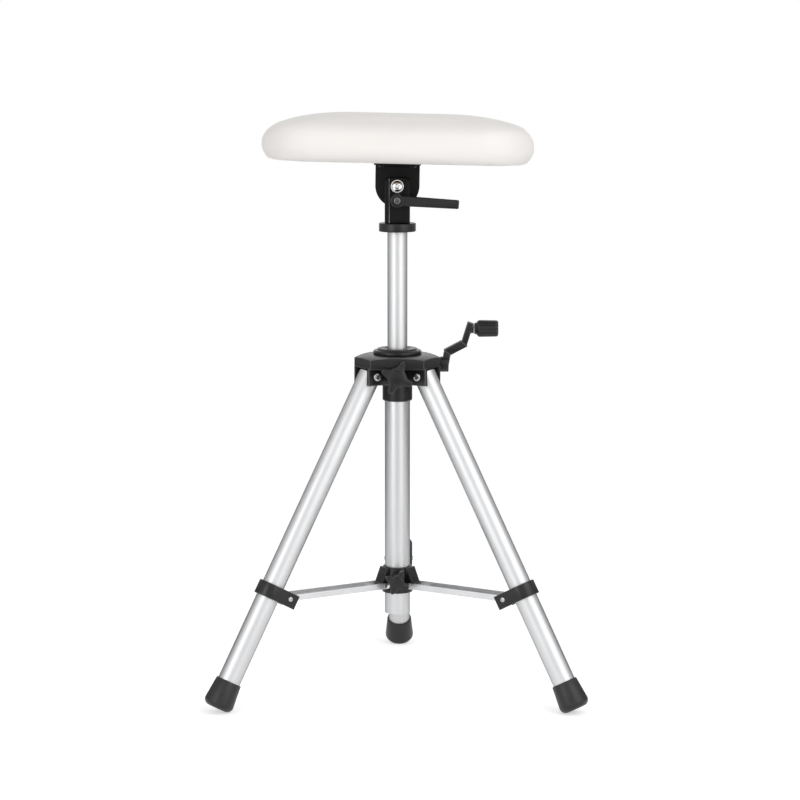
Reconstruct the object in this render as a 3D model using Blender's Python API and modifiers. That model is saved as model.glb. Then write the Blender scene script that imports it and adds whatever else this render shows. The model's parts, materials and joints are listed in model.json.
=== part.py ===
"""Pedicure footrest: an upholstered pad on a geared mast, over a stand with three folding legs.

Lengths are in metres, +Z is up and the floor is at Z = 0. Everything hangs on column_frame, whose
Z axis is the column's axis. The front, -Y, is the side with the two lock knobs.
"""

import math

import bmesh
import bpy
from mathutils import Matrix

MM = 0.001
DEGREE = math.pi / 180.0

# Fits and fineness
GAP = 0.3 * MM
TURN_PLAY = 0.5 * MM
PAST = 20.0 * MM
ROUND_SEGMENTS = 24
MEDIUM_SEGMENTS = 16
SMALL_SEGMENTS = 12
RIVET_SEGMENTS = 10
SHARP_ANGLE = 35.0 * DEGREE

# Mast and column
MAST_RADIUS = 11.0 * MM
MAST_WALL = 1.6 * MM
MAST_PLAY = 1.7 * MM
MAST_TAIL = 41.7 * MM
MAST_FOOT_HEIGHT = 6.5 * MM
MAST_FOOT_SPIGOT = 14.0 * MM
COLUMN_WALL = 1.3 * MM
COLUMN_TAIL = 24.0 * MM
COLUMN_PLUG = 8.0 * MM
COLUMN_PLUG_INSET = 0.5 * MM
MAST_BORE = MAST_RADIUS - MAST_WALL
COLUMN_BORE = MAST_RADIUS + MAST_PLAY
COLUMN_RADIUS = COLUMN_BORE + COLUMN_WALL
MAST_FOOT_RADIUS = COLUMN_BORE - GAP

# Rack and pinion
MODULE = 1.0 * MM
PINION_TEETH = 9
PINION_ADDENDUM = 0.75 * MM
PRESSURE_ANGLE = 20.0 * DEGREE
TOOTH_THINNING = 0.12 * MM
RACK_ADDENDUM = 0.5 * MM
TOOTH_ROOM = 0.25 * MM
RACK_WIDTH = 6.0 * MM
RACK_DEPTH = 4.0 * MM
RACK_SINK = 0.8 * MM
RACK_END_PLAY = 0.8 * MM
RACK_TEETH_DOWN = 37
RACK_TEETH_UP = 31
PINION_SIDE_PLAY = 0.1 * MM
PINION_ROOM = 0.35 * MM
PINION_ROOM_SIDE = 0.7 * MM
RACK_PITCH_LINE = MAST_RADIUS - RACK_SINK
RACK_BACK = RACK_PITCH_LINE - RACK_DEPTH
PINION_HALF_WIDTH = RACK_WIDTH / 2.0 - PINION_SIDE_PLAY
TOOTH_PITCH = math.pi * MODULE
TOOTH_THICKNESS = TOOTH_PITCH / 2.0 - TOOTH_THINNING
PINION_PITCH_RADIUS = MODULE * PINION_TEETH / 2.0
PINION_Y = RACK_PITCH_LINE + PINION_PITCH_RADIUS

# Legs and feet
LEG_NAMES = ("left", "right", "rear")
LEG_AZIMUTHS = (210.0 * DEGREE, 330.0 * DEGREE, 90.0 * DEGREE)
LEG_HEAD_SIDES = (1, -1, 1)
LEG_SPLAY = 28.4 * DEGREE
HINGE_REACH = 35.0 * MM
HINGE_HEIGHT = 357.0 * MM
LEG_RADIUS = 12.5 * MM
LEG_WALL = 1.3 * MM
LEG_TOP = 2.0 * MM
PLUG_HEAD_INSET = 0.6 * MM
PLUG_LENGTH = 28.0 * MM
FOOT_WALL = 1.5 * MM
FOOT_FLARE = 2.3 * MM
FOOT_ROUND = 5.0 * MM
FOOT_LENGTH = 29.0 * MM
FOOT_SOLE = 8.2 * MM
FOOT_WEAR = 1.2 * MM
FOOT_RIM = 0.5 * MM
BOLT_RADIUS = 2.5 * MM
BOLT_HEAD = 4.6 * MM
BOLT_HEAD_HEIGHT = 2.8 * MM
BOLT_PLAY = 0.6 * MM
HINGE_NUT = 4.0 * MM
HINGE_NUT_ACROSS = 8.0 * MM
LEG_BORE = LEG_RADIUS - LEG_WALL
PLUG_HEAD = LEG_BORE - PLUG_HEAD_INSET
FOOT_TOP_RADIUS = LEG_RADIUS + GAP + FOOT_WALL
FOOT_RADIUS = FOOT_TOP_RADIUS + FOOT_FLARE
FOOT_CORNER = 0.3 * FOOT_ROUND
FOOT_LIFT = (
    (FOOT_RADIUS - FOOT_ROUND) * math.sin(LEG_SPLAY)
    + FOOT_ROUND * (1.0 - math.cos(LEG_SPLAY))
    - FOOT_WEAR
)
FOOT_BOTTOM = (HINGE_HEIGHT - FOOT_LIFT) / math.cos(LEG_SPLAY)
FOOT_TOP = FOOT_BOTTOM - FOOT_LENGTH
LEG_END = FOOT_BOTTOM - FOOT_SOLE

# Shoulder casting: what rises or drops does so from the leg hinges
EAR_PLAY = 0.4 * MM
EAR_WALL = 4.0 * MM
EAR_LENGTH = 10.5 * MM
EAR_DROP = 9.7 * MM
EAR_CORNER = 1.2 * MM
ROOF_RISE = 8.5 * MM
ROOF_THICKNESS = 13.8 * MM
ROOF_OVERHANG = 9.5 * MM
ROOF_FACET_OVERHANG = 3.0 * MM
ROOF_CORNER = 4.0 * MM
ROOF_SLOPE = ((34.0, 8.3), (24.0, 4.0), (17.0, 2.1), (11.0, 0.9))
CORE_RADIUS = 25.0 * MM
CORE_DROP = 2.0 * MM
POCKET_PLAY = 0.9 * MM
POCKET_LENGTH = 7.6 * MM
POCKET_HEAD_ROOM = 1.1 * MM
POCKET_STEP = 1.2 * MM
POCKET_OVERLAP = 3.0 * MM
POCKET_LIP = 0.4 * MM
SLEEVE_WALL = 2.3 * MM
SLEEVE_DROP = 28.6 * MM
SLEEVE_OVERLAP = 4.0 * MM
SLEEVE_ROUND = 2.0 * MM
BOSS_START = 12.0 * MM
COLUMN_SEAT = 10.5 * MM
MAST_BORE_PLAY = 0.4 * MM
CAP_RADIUS = 26.0 * MM
CAP_HEIGHT = 6.2 * MM
CAP_SIDE = ((0.4, 0.226), (2.8, 0.613), (4.8, 0.952), (5.4, 1.0))
CAP_SPIGOT_WALL = 2.7 * MM
CAP_SPIGOT_LENGTH = 6.3 * MM
EAR_INNER = LEG_RADIUS + EAR_PLAY
EAR_OUTER = EAR_INNER + EAR_WALL
EAR_REACH = HINGE_REACH + EAR_LENGTH
EAR_BOTTOM = HINGE_HEIGHT - EAR_DROP
ROOF_REACH = HINGE_REACH + ROOF_OVERHANG
ROOF_FACET = HINGE_REACH + ROOF_FACET_OVERHANG
ROOF_BOTTOM = HINGE_HEIGHT + ROOF_RISE
ROOF_TOP = ROOF_BOTTOM + ROOF_THICKNESS
POCKET_START = HINGE_REACH - LEG_RADIUS - POCKET_PLAY
POCKET_END = HINGE_REACH + POCKET_LENGTH
POCKET_TOP = HINGE_HEIGHT + PLUG_HEAD + POCKET_HEAD_ROOM
POCKET_TOP_HALF = EAR_INNER - POCKET_STEP
SLEEVE_RADIUS = COLUMN_RADIUS + GAP + SLEEVE_WALL
SLEEVE_BOTTOM = HINGE_HEIGHT - SLEEVE_DROP
SLEEVE_CORNER = 0.3 * SLEEVE_ROUND
COLUMN_TOP = HINGE_HEIGHT - COLUMN_SEAT
CAP_TOP = ROOF_TOP + CAP_HEIGHT
CAP_SPIGOT = MAST_RADIUS + CAP_SPIGOT_WALL
CAP_SPIGOT_BOTTOM = ROOF_TOP - CAP_SPIGOT_LENGTH

# Lock knob
KNOB_RISE = 1.7 * MM
KNOB_RADIUS = 18.8 * MM
KNOB_WAIST = 10.8 * MM
KNOB_THICKNESS = 13.0 * MM
KNOB_STEM = 2.0 * MM
KNOB_BOSS_RADIUS = 9.5 * MM
KNOB_BOSS_LENGTH = 1.8 * MM
KNOB_PHASE = 65.0 * DEGREE
KNOB_POINTS = 32
KNOB_LOBE_POWER = 2.0
KNOB_LIP = 0.5 * MM
KNOB_EDGE = 2.5 * MM
KNOB_BUTTON = 1.2 * MM
STUD_RADIUS = 3.0 * MM
STUD_BORE_START = 3.0 * MM
STUD_GRIP = 9.0 * MM
KNOB_HEIGHT = HINGE_HEIGHT + KNOB_RISE
KNOB_BOSS_END = ROOF_FACET + KNOB_BOSS_LENGTH

# Crank
CRANK_RISE = 8.5 * MM
CRANK_BOSS_RADIUS = 8.6 * MM
CRANK_BOSS_LENGTH = 2.3 * MM
CRANK_HUB_WIDTH = 9.6 * MM
CRANK_HUB_EDGE = 0.8 * MM
CRANK_RADIUS = 40.0 * MM
CRANK_ARM_THICK = 6.4 * MM
CRANK_ARM_WIDTH = 10.0 * MM
CRANK_ARM_EDGE = 1.2 * MM
CRANK_SIDESTEP = 28.3 * MM
CRANK_FOOT_INSET = 4.3 * MM
CRANK_FOOT_DROP = 3.0 * MM
CRANK_KNEE_INSET = 1.5 * MM
CRANK_KNEE_RISE = 13.6 * MM
CRANK_ELBOW_STEP = 17.1 * MM
CRANK_ELBOW_RISE = 23.4 * MM
CRANK_END_RISE = 6.5 * MM
GRIP_PLAY = 0.8 * MM
GRIP_LENGTH = 26.7 * MM
GRIP_RADIUS = 9.4 * MM
GRIP_NECK = 6.3 * MM
GRIP_NECK_LENGTH = 2.2 * MM
GRIP_SHOULDER = 4.6 * MM
GRIP_ROUND = 2.0 * MM
GRIP_TAPER = 0.3 * MM
GRIP_FLUTE_DEPTH = 0.7 * MM
GRIP_FLUTES = 16
GRIP_PIN_RADIUS = 2.0 * MM
GRIP_PIN_ROOT = 5.2 * MM
GRIP_PIN_SHORT = 4.9 * MM
SHAFT_RADIUS = 3.0 * MM
SHAFT_TAIL = 8.5 * MM
SHAFT_SHORT = 1.0 * MM
CRANK_HEIGHT = HINGE_HEIGHT + CRANK_RISE
CRANK_BOSS_END = ROOF_REACH + CRANK_BOSS_LENGTH
CRANK_HUB_START = CRANK_BOSS_END + TURN_PLAY
CRANK_HUB_END = CRANK_HUB_START + CRANK_HUB_WIDTH
GRIP_START = CRANK_HUB_END + CRANK_SIDESTEP
GRIP_END = GRIP_START + GRIP_LENGTH
CRANK_ARM_END = GRIP_START - GRIP_PLAY - CRANK_ARM_THICK / 2.0
GRIP_PIN_START = CRANK_ARM_END - GRIP_PIN_ROOT
GRIP_PIN_END = GRIP_END - GRIP_PIN_SHORT
RACK_BOTTOM = CRANK_HEIGHT - (RACK_TEETH_DOWN + 0.5) * TOOTH_PITCH
RACK_TOP = CRANK_HEIGHT + (RACK_TEETH_UP + 0.5) * TOOTH_PITCH
MAST_BOTTOM = RACK_BOTTOM - MAST_TAIL

# Leg clamps
CLAMP_AT = 261.0 * MM
CLAMP_HALF_HEIGHT = 7.9 * MM
CLAMP_WALL = 2.3 * MM
CLAMP_PIN_LIFT = 1.0 * MM
CLAMP_PIN_GAP = 5.9 * MM
CLAMP_TONGUE = 9.2 * MM
RIVET_RADIUS = 1.7 * MM
RIVET_HEAD = 2.7 * MM
RIVET_HEAD_HEIGHT = 1.3 * MM
CLAMP_INNER = LEG_RADIUS + GAP
CLAMP_OUTER = CLAMP_INNER + CLAMP_WALL
CLAMP_PIN_AT = CLAMP_AT - CLAMP_PIN_LIFT
CLAMP_PIN_OFFSET = LEG_RADIUS + CLAMP_PIN_GAP
CLAMP_REACH = CLAMP_PIN_OFFSET + CLAMP_TONGUE
CLAMP_PIN_REACH = (
    HINGE_REACH
    + CLAMP_PIN_AT * math.sin(LEG_SPLAY)
    - CLAMP_PIN_OFFSET * math.cos(LEG_SPLAY)
)
CLAMP_PIN_HEIGHT = (
    HINGE_HEIGHT
    - CLAMP_PIN_AT * math.cos(LEG_SPLAY)
    - CLAMP_PIN_OFFSET * math.sin(LEG_SPLAY)
)

# Struts
STRUT_DROOP = 0.45 * DEGREE
STRUT_SIDE_PLAY = 2.8 * MM
STRUT_SHEET = 1.2 * MM
STRUT_ABOVE = 3.0 * MM
STRUT_BELOW = 3.6 * MM
STRUT_TAIL = 4.3 * MM
STRUT_CORNER = 1.6 * MM
STRUT_TOP_SHORT = 10.8 * MM
STRUT_BOTTOM_SHORT = 3.2 * MM
STRUT_FLOOR_START = 14.0 * MM
STRUT_FLOOR_SHORT = 9.5 * MM
PIN_RADIUS = 1.8 * MM
PIN_HEAD = 2.9 * MM
PIN_HEAD_HEIGHT = 1.1 * MM
STRUT_HALF_WIDTH = CLAMP_INNER - STRUT_SIDE_PLAY

# Spreader hub: what rises or drops does so from the strut pivots
HUB_WALL = 2.1 * MM
HUB_RIM = 0.8 * MM
HUB_RIM_HEIGHT = 4.4 * MM
HUB_EDGE = 1.4 * MM
HUB_DROP = 9.5 * MM
HUB_RISE = 19.7 * MM
STRUT_PIVOT_GAP = 3.1 * MM
WING_LENGTH = 7.9 * MM
WING_TOP_LENGTH = 1.2 * MM
WING_SIDE_PLAY = 0.4 * MM
WING_ROOT = 0.9 * MM
WING_LUG = 3.4 * MM
WING_LUG_CORNER = 2.0 * MM
WING_SHELF = 1.6 * MM
WING_SHELF_SLOPE = 0.3 * MM
WING_TIP = 1.5 * MM
WING_TOP_DROP = 0.4 * MM
WING_HOLLOW_DROP = 5.0 * MM
WING_HOLLOW_RISE = 4.6 * MM
WING_HOLLOW_INSET = 3.4 * MM
WING_HOLLOW_DEPTH = 1.6 * MM
HUB_KNOB_RISE = 6.2 * MM
HUB_KNOB_RADIUS = 14.4 * MM
HUB_KNOB_WAIST = 8.4 * MM
HUB_KNOB_THICKNESS = 10.0 * MM
HUB_KNOB_STEM = 1.5 * MM
HUB_BOSS_RADIUS = 7.5 * MM
HUB_BOSS_LENGTH = 6.6 * MM
HUB_STUD_RADIUS = 2.5 * MM
HUB_STUD_GRIP = 7.0 * MM
HUB_BORE = COLUMN_RADIUS + GAP
HUB_RADIUS = HUB_BORE + HUB_WALL
HUB_FLANGE = HUB_RADIUS + HUB_RIM
STRUT_PIVOT_REACH = HUB_RADIUS + STRUT_PIVOT_GAP
STRUT_LENGTH = (CLAMP_PIN_REACH - STRUT_PIVOT_REACH) / math.cos(STRUT_DROOP)
STRUT_PIVOT_HEIGHT = CLAMP_PIN_HEIGHT + STRUT_LENGTH * math.sin(STRUT_DROOP)
HUB_BOTTOM = STRUT_PIVOT_HEIGHT - HUB_DROP
HUB_TOP = STRUT_PIVOT_HEIGHT + HUB_RISE
WING_REACH = STRUT_PIVOT_REACH + WING_LENGTH
WING_TOP_REACH = HUB_RADIUS + WING_TOP_LENGTH
WING_HALF_WIDTH = STRUT_HALF_WIDTH - STRUT_SHEET - WING_SIDE_PLAY
HUB_KNOB_HEIGHT = STRUT_PIVOT_HEIGHT + HUB_KNOB_RISE
HUB_BOSS_END = HUB_RADIUS + HUB_BOSS_LENGTH
COLUMN_BOTTOM = HUB_BOTTOM - COLUMN_TAIL

# Tilt head
MAST_REACH = 199.5 * MM
PIVOT_RADIUS = 4.0 * MM
PIVOT_HEAD = 7.1 * MM
PIVOT_HEAD_HEIGHT = 4.2 * MM
PIVOT_NUT = 6.5 * MM
PIVOT_NUT_ACROSS = 13.0 * MM
PLATE_HALF = 2.5 * MM
PLATE_MARGIN = 9.0 * MM
PLATE_PLAY = 1.2 * MM
LEVER_HUB = 7.6 * MM
LEVER_PLAY = 0.6 * MM
LEVER_LENGTH = 67.5 * MM
LEVER_DROOP = 3.7 * DEGREE
LEVER_THICK = 10.5 * MM
LEVER_START = 2.0 * MM
LEVER_ROOT_HALF = 5.7 * MM
LEVER_TIP_HALF = 4.8 * MM
LEVER_CORNER = 1.6 * MM
LEVER_EDGE = 1.2 * MM
LEVER_STEP = 2.0 * MM
LEVER_SINK = 2.6 * MM
LEVER_SCREW_HEAD = 4.5 * MM
LEVER_SCREW_PLAY = 0.4 * MM
LEVER_SCREW_HEIGHT = 2.4 * MM
LEVER_NUT = 5.0 * MM
LEVER_NUT_ACROSS = 10.0 * MM
HEAD_SIDE_WALL = 2.8 * MM
HEAD_FRONT_WALL = 3.0 * MM
HEAD_CROWN = 1.5 * MM
HEAD_CORNER = 5.0 * MM
HEAD_RIB = 5.0 * MM
HEAD_PANEL_DEPTH = 1.0 * MM
HEAD_PANEL_START = 3.0 * MM
HEAD_NECK = 15.5 * MM
MAST_TOP_WALL = 3.5 * MM
RING_WIDTH = 9.4 * MM
RING_HEIGHT = 9.4 * MM
RING_EDGE = 1.2 * MM
SLOT_HALF_ANGLE = 45.0 * DEGREE
FLANGE_RISE = 15.1 * MM
FLANGE_SIDE = 1.4 * MM
FLANGE_HALF_DEPTH = 34.0 * MM
FLANGE_THICK = 4.2 * MM
FLANGE_CORNER = 5.0 * MM
FLANGE_SCREW_INSET = 8.7 * MM
FLANGE_SCREW_RADIUS = 2.0 * MM
FLANGE_SCREW_HEAD = 3.9 * MM
FLANGE_SCREW_HEIGHT = 2.2 * MM
FLANGE_SCREW_LENGTH = 9.0 * MM
WEB = 3.5 * MM
WEB_SINK = 0.5 * MM
WEB_SHORT = 0.6 * MM
TILT_HEIGHT = CRANK_HEIGHT + MAST_REACH
LEVER_DROP = PIVOT_HEAD + LEVER_HUB + LEVER_PLAY
PLATE_RADIUS = LEVER_DROP + PLATE_MARGIN
HEAD_HALF_WIDTH = MAST_RADIUS + HEAD_SIDE_WALL
HEAD_HALF_DEPTH = MAST_RADIUS + HEAD_FRONT_WALL
HEAD_TOP = TILT_HEIGHT + PIVOT_HEAD + HEAD_CROWN
HEAD_SLOT = PLATE_HALF + GAP
HEAD_SLOT_FLOOR = TILT_HEIGHT - PLATE_RADIUS - PLATE_PLAY
HEAD_PANEL = HEAD_HALF_WIDTH - HEAD_RIB
RING_TOP = HEAD_SLOT_FLOOR - HEAD_NECK
RING_BOTTOM = RING_TOP - RING_HEIGHT
RING_RADIUS = MAST_RADIUS + RING_WIDTH
MAST_TOP = HEAD_SLOT_FLOOR - MAST_TOP_WALL
FLANGE_BOTTOM = HEAD_TOP - TILT_HEIGHT + FLANGE_RISE
FLANGE_TOP = FLANGE_BOTTOM + FLANGE_THICK
FLANGE_HALF_WIDTH = PLATE_RADIUS + FLANGE_SIDE
FLANGE_SCREW_X = FLANGE_HALF_WIDTH - FLANGE_SCREW_INSET
FLANGE_SCREW_Y = FLANGE_HALF_DEPTH - FLANGE_SCREW_INSET

# Pad
PAD_TILT = 0.9 * DEGREE
PAD_HALF_WIDTH = 148.2 * MM
PAD_HALF_DEPTH = 90.0 * MM
PAD_CORNER = 62.0 * MM
PAD_LEAST_CORNER = 8.0 * MM
BOARD_INSET = 24.0 * MM
BOARD_THICK = 8.0 * MM
PAD_BOTTOM = FLANGE_TOP + 2.0 * GAP
PAD_PROFILE = (
    (18.0, 0.0),
    (11.0, 0.8),
    (5.5, 3.6),
    (1.8, 8.8),
    (0.0, 17.0),
    (1.2, 23.6),
    (4.0, 29.2),
    (8.6, 33.8),
    (15.5, 38.0),
    (26.0, 41.8),
    (42.0, 45.0),
    (60.0, 47.4),
    (76.0, 49.4),
)

# The column's place, which puts the origin under the middle of the part
FOOT_REACH = HINGE_REACH + FOOT_BOTTOM * math.sin(LEG_SPLAY)
REAR_EXTENT = (
    FOOT_REACH
    + (FOOT_RADIUS - FOOT_CORNER) * math.cos(LEG_SPLAY)
    - FOOT_CORNER * math.sin(LEG_SPLAY)
)
FRONT_EXTENT = (FOOT_REACH - FOOT_ROUND * math.sin(LEG_SPLAY)) / 2.0 + FOOT_RADIUS * math.hypot(
    math.cos(LEG_SPLAY) / 2.0, math.cos(30.0 * DEGREE)
)
COLUMN_Y = (FRONT_EXTENT - REAR_EXTENT) / 2.0

# Rotations that turn a shape's own Z axis to the front, to the right or along a leg's hinge
FRONT = (math.pi / 2.0, 0.0, 0.0)
RIGHT = (math.pi / 2.0, 0.0, math.pi / 2.0)


def clear_scene():
    for obj in list(bpy.data.objects):
        bpy.data.objects.remove(obj, do_unlink=True)
    for group in list(bpy.data.collections):
        bpy.data.collections.remove(group)


def new_collection(name):
    group = bpy.data.collections.new(name)
    bpy.context.scene.collection.children.link(group)
    return group


def new_material(name, color, metallic, roughness):
    material = bpy.data.materials.new(name)
    material.use_nodes = True
    shader = material.node_tree.nodes["Principled BSDF"]
    shader.inputs["Base Color"].default_value = (*color, 1.0)
    shader.inputs["Metallic"].default_value = metallic
    shader.inputs["Roughness"].default_value = roughness
    material.diffuse_color = (*color, 1.0)
    return material


clear_scene()
PART = new_collection("pedicure_footrest")
CUTTERS = new_collection("cutters")
BLACK = new_material("black_plastic", (0.02, 0.02, 0.022), 0.0, 0.45)
TUBE = new_material("satin_aluminium", (0.78, 0.79, 0.8), 1.0, 0.3)
STEEL = new_material("bright_steel", (0.8, 0.8, 0.8), 1.0, 0.2)
DARK_STEEL = new_material("blackened_steel", (0.05, 0.05, 0.055), 0.6, 0.35)
RUBBER = new_material("black_rubber", (0.015, 0.015, 0.015), 0.0, 0.7)
VINYL = new_material("white_vinyl", (0.9, 0.88, 0.85), 0.0, 0.5)
BOARD = new_material("plywood", (0.55, 0.4, 0.24), 0.0, 0.6)


def new_empty(name, location, rotation, parent):
    empty = bpy.data.objects.new(name, None)
    empty.empty_display_size = 0.02
    empty.location = location
    empty.rotation_euler = rotation
    empty.parent = parent
    PART.objects.link(empty)
    return empty


def new_object(name, form, material=None, parent=None, location=(0, 0, 0), rotation=(0, 0, 0)):
    """Make an object of a form. One with no material is a tool for a Boolean, and isn't rendered."""
    bmesh.ops.recalc_face_normals(form, faces=form.faces[:])
    mesh = bpy.data.meshes.new(name)
    form.to_mesh(mesh)
    form.free()
    mesh.shade_smooth()
    mesh.set_sharp_from_angle(angle=SHARP_ANGLE)
    obj = bpy.data.objects.new(name, mesh)
    obj.parent = parent
    obj.location = location
    obj.rotation_euler = rotation
    if material is None:
        CUTTERS.objects.link(obj)
        obj.hide_render = True
        obj.display_type = "WIRE"
    else:
        PART.objects.link(obj)
        mesh.materials.append(material)
    return obj


def combine(obj, tool, operation):
    modifier = obj.modifiers.new(tool.name, "BOOLEAN")
    modifier.operation = operation
    modifier.solver = "EXACT"
    modifier.object = tool


def cut(obj, *tools):
    for tool in tools:
        combine(obj, tool, "DIFFERENCE")


def join(obj, *tools):
    for tool in tools:
        combine(obj, tool, "UNION")


def bevel(obj, width):
    modifier = obj.modifiers.new("edges", "BEVEL")
    modifier.width = width
    modifier.segments = 1
    modifier.limit_method = "ANGLE"
    modifier.angle_limit = 40.0 * DEGREE


def block(name, low, high, **placing):
    """A box between two opposite corners."""
    form = bmesh.new()
    size = [b - a for a, b in zip(low, high)]
    middle = [(a + b) / 2.0 for a, b in zip(low, high)]
    shift = Matrix.Translation(middle) @ Matrix.Diagonal((*size, 1.0))
    bmesh.ops.create_cube(form, size=1.0, matrix=shift)
    return new_object(name, form, **placing)


def rod(name, radius, low, high, segments=ROUND_SEGMENTS, **placing):
    """A cylinder along the Z axis."""
    form = bmesh.new()
    shift = Matrix.Translation((0.0, 0.0, (low + high) / 2.0))
    bmesh.ops.create_cone(
        form,
        cap_ends=True,
        segments=segments,
        radius1=radius,
        radius2=radius,
        depth=high - low,
        matrix=shift,
    )
    return new_object(name, form, **placing)


def turned(name, profile, segments=ROUND_SEGMENTS, **placing):
    """Turn (radius, height) points, listed up the outer side, round the Z axis."""
    form = bmesh.new()
    points = [form.verts.new((radius, 0.0, height)) for radius, height in profile[::-1]]
    for first, second in zip(points, points[1:]):
        form.edges.new((first, second))
    if profile[0][0] > 0.0:
        form.edges.new((points[-1], points[0]))
    obj = new_object(name, form, **placing)
    screw = obj.modifiers.new("turn", "SCREW")
    screw.steps = segments
    screw.render_steps = segments
    screw.use_merge_vertices = True
    screw.merge_threshold = 0.00001
    screw.use_smooth_shade = False
    return obj


def tube(name, outer, inner, low, high, segments=ROUND_SEGMENTS, **placing):
    profile = ((inner, low), (outer, low), (outer, high), (inner, high))
    return turned(name, profile, segments, **placing)


def plate(name, outline, low, high, **placing):
    """A flat outline, extruded along the Z axis."""
    form = bmesh.new()
    face = form.faces.new([form.verts.new((x, y, low)) for x, y in outline])
    grown = bmesh.ops.extrude_face_region(form, geom=[face], use_keep_orig=True)
    top = [item for item in grown["geom"] if isinstance(item, bmesh.types.BMVert)]
    bmesh.ops.translate(form, verts=top, vec=(0.0, 0.0, high - low))
    return new_object(name, form, **placing)


def loft(name, rings, **placing):
    """A closed skin over unlike rings of equally many points, with flat ends."""
    form = bmesh.new()
    skins = [[form.verts.new(point) for point in ring] for ring in rings]
    form.faces.new(skins[0][::-1])
    form.faces.new(skins[-1])
    for low, high in zip(skins, skins[1:]):
        for k in range(len(low)):
            j = (k + 1) % len(low)
            form.faces.new((low[k], low[j], high[j], high[k]))
    return new_object(name, form, **placing)


def rounded(points, radius, steps=3):
    """A polygon with each corner rounded."""
    outline = []
    for k, (x, y) in enumerate(points):
        before = points[k - 1]
        after = points[(k + 1) % len(points)]
        ux, uy = before[0] - x, before[1] - y
        vx, vy = after[0] - x, after[1] - y
        u = math.hypot(ux, uy)
        v = math.hypot(vx, vy)
        ux, uy, vx, vy = ux / u, uy / u, vx / v, vy / v
        half = math.acos(max(-1.0, min(1.0, ux * vx + uy * vy))) / 2.0
        reach = radius / math.sin(half)
        middle = math.hypot(ux + vx, uy + vy)
        cx = x + (ux + vx) / middle * reach
        cy = y + (uy + vy) / middle * reach
        tangent = radius / math.tan(half)
        start = math.atan2(y + uy * tangent - cy, x + ux * tangent - cx)
        end = math.atan2(y + vy * tangent - cy, x + vx * tangent - cx)
        sweep = (end - start + math.pi) % (2.0 * math.pi) - math.pi
        for step in range(steps + 1):
            angle = start + sweep * step / steps
            outline.append((cx + radius * math.cos(angle), cy + radius * math.sin(angle)))
    return outline


def rounded_box(x, y, radius, steps=3):
    return rounded(((-x, -y), (x, -y), (x, y), (-x, y)), radius, steps)


def arc(radius, start, end, steps):
    """Points of an arc round the origin."""
    angles = [start + (end - start) * k / steps for k in range(steps + 1)]
    return [(radius * math.cos(angle), radius * math.sin(angle)) for angle in angles]


def ribbon(points, width):
    """The outline of a bent strip of even width."""
    left = []
    right = []
    headings = [math.atan2(b[1] - a[1], b[0] - a[0]) for a, b in zip(points, points[1:])]
    for k, (x, y) in enumerate(points):
        before = headings[max(k - 1, 0)]
        after = headings[min(k, len(headings) - 1)]
        middle = (before + after) / 2.0
        reach = width / 2.0 / math.cos((after - before) / 2.0)
        left.append((x - reach * math.sin(middle), y + reach * math.cos(middle)))
        right.append((x + reach * math.sin(middle), y - reach * math.cos(middle)))
    return right + left[::-1]


def star(tip, waist, height):
    """A ring with four lobes."""
    ring = []
    for k in range(KNOB_POINTS):
        angle = 2.0 * math.pi * k / KNOB_POINTS
        swing = 0.5 + 0.5 * math.cos(4.0 * angle)
        radius = waist + (tip - waist) * swing**KNOB_LOBE_POWER
        ring.append(polar(radius, angle + KNOB_PHASE, height))
    return ring


def star_knob(name, tip, waist, thickness, stem, **placing):
    """A four-lobe knob with a stem behind it and a raised round centre."""
    face = stem + thickness
    rings = (
        star(waist * 0.8, waist * 0.8, 0.0),
        star(waist * 0.8, waist * 0.8, stem),
        star(tip * 0.92, waist * 0.92, stem + KNOB_LIP),
        star(tip, waist, stem + KNOB_EDGE),
        star(tip, waist, face - KNOB_EDGE),
        star(tip * 0.9, waist * 0.9, face - KNOB_LIP),
        star(waist * 0.72, waist * 0.72, face),
        star(waist * 0.66, waist * 0.66, face + KNOB_BUTTON),
    )
    return loft(name, rings, **placing)


def screw(name, length, radius, head_radius, head_height, segments=SMALL_SEGMENTS, **placing):
    """A domed head from Z = 0 up, with its shank below."""
    profile = (
        (0.0, -length),
        (radius, -length),
        (radius, 0.0),
        (head_radius, 0.0),
        (head_radius, head_height * 0.45),
        (head_radius * 0.65, head_height),
        (0.0, head_height),
    )
    return turned(name, profile, segments, **placing)


def nut(name, across, bore, low, high, **placing):
    corner = math.cos(math.pi / 6.0)
    return tube(name, across / 2.0 / corner, bore / corner, low, high, 6, **placing)


def gear_outline():
    """An involute pinion, with a tooth space facing the rack at angle pi."""
    base = PINION_PITCH_RADIUS * math.cos(PRESSURE_ANGLE)
    root = PINION_PITCH_RADIUS - RACK_ADDENDUM - TOOTH_ROOM
    tip = PINION_PITCH_RADIUS + PINION_ADDENDUM
    half = TOOTH_THICKNESS / 2.0 / PINION_PITCH_RADIUS
    half += math.tan(PRESSURE_ANGLE) - PRESSURE_ANGLE
    flank = [(root, half)]
    for k in range(4):
        radius = base + (tip - base) * k / 3.0
        roll = math.acos(min(1.0, base / radius))
        flank.append((radius, half - math.tan(roll) + roll))
    outline = []
    for tooth in range(PINION_TEETH):
        middle = math.pi + 2.0 * math.pi * (tooth + 0.5) / PINION_TEETH
        sides = [(r, middle - a) for r, a in flank] + [(r, middle + a) for r, a in flank[::-1]]
        outline += [(r * math.cos(a), r * math.sin(a)) for r, a in sides]
    return outline


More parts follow.
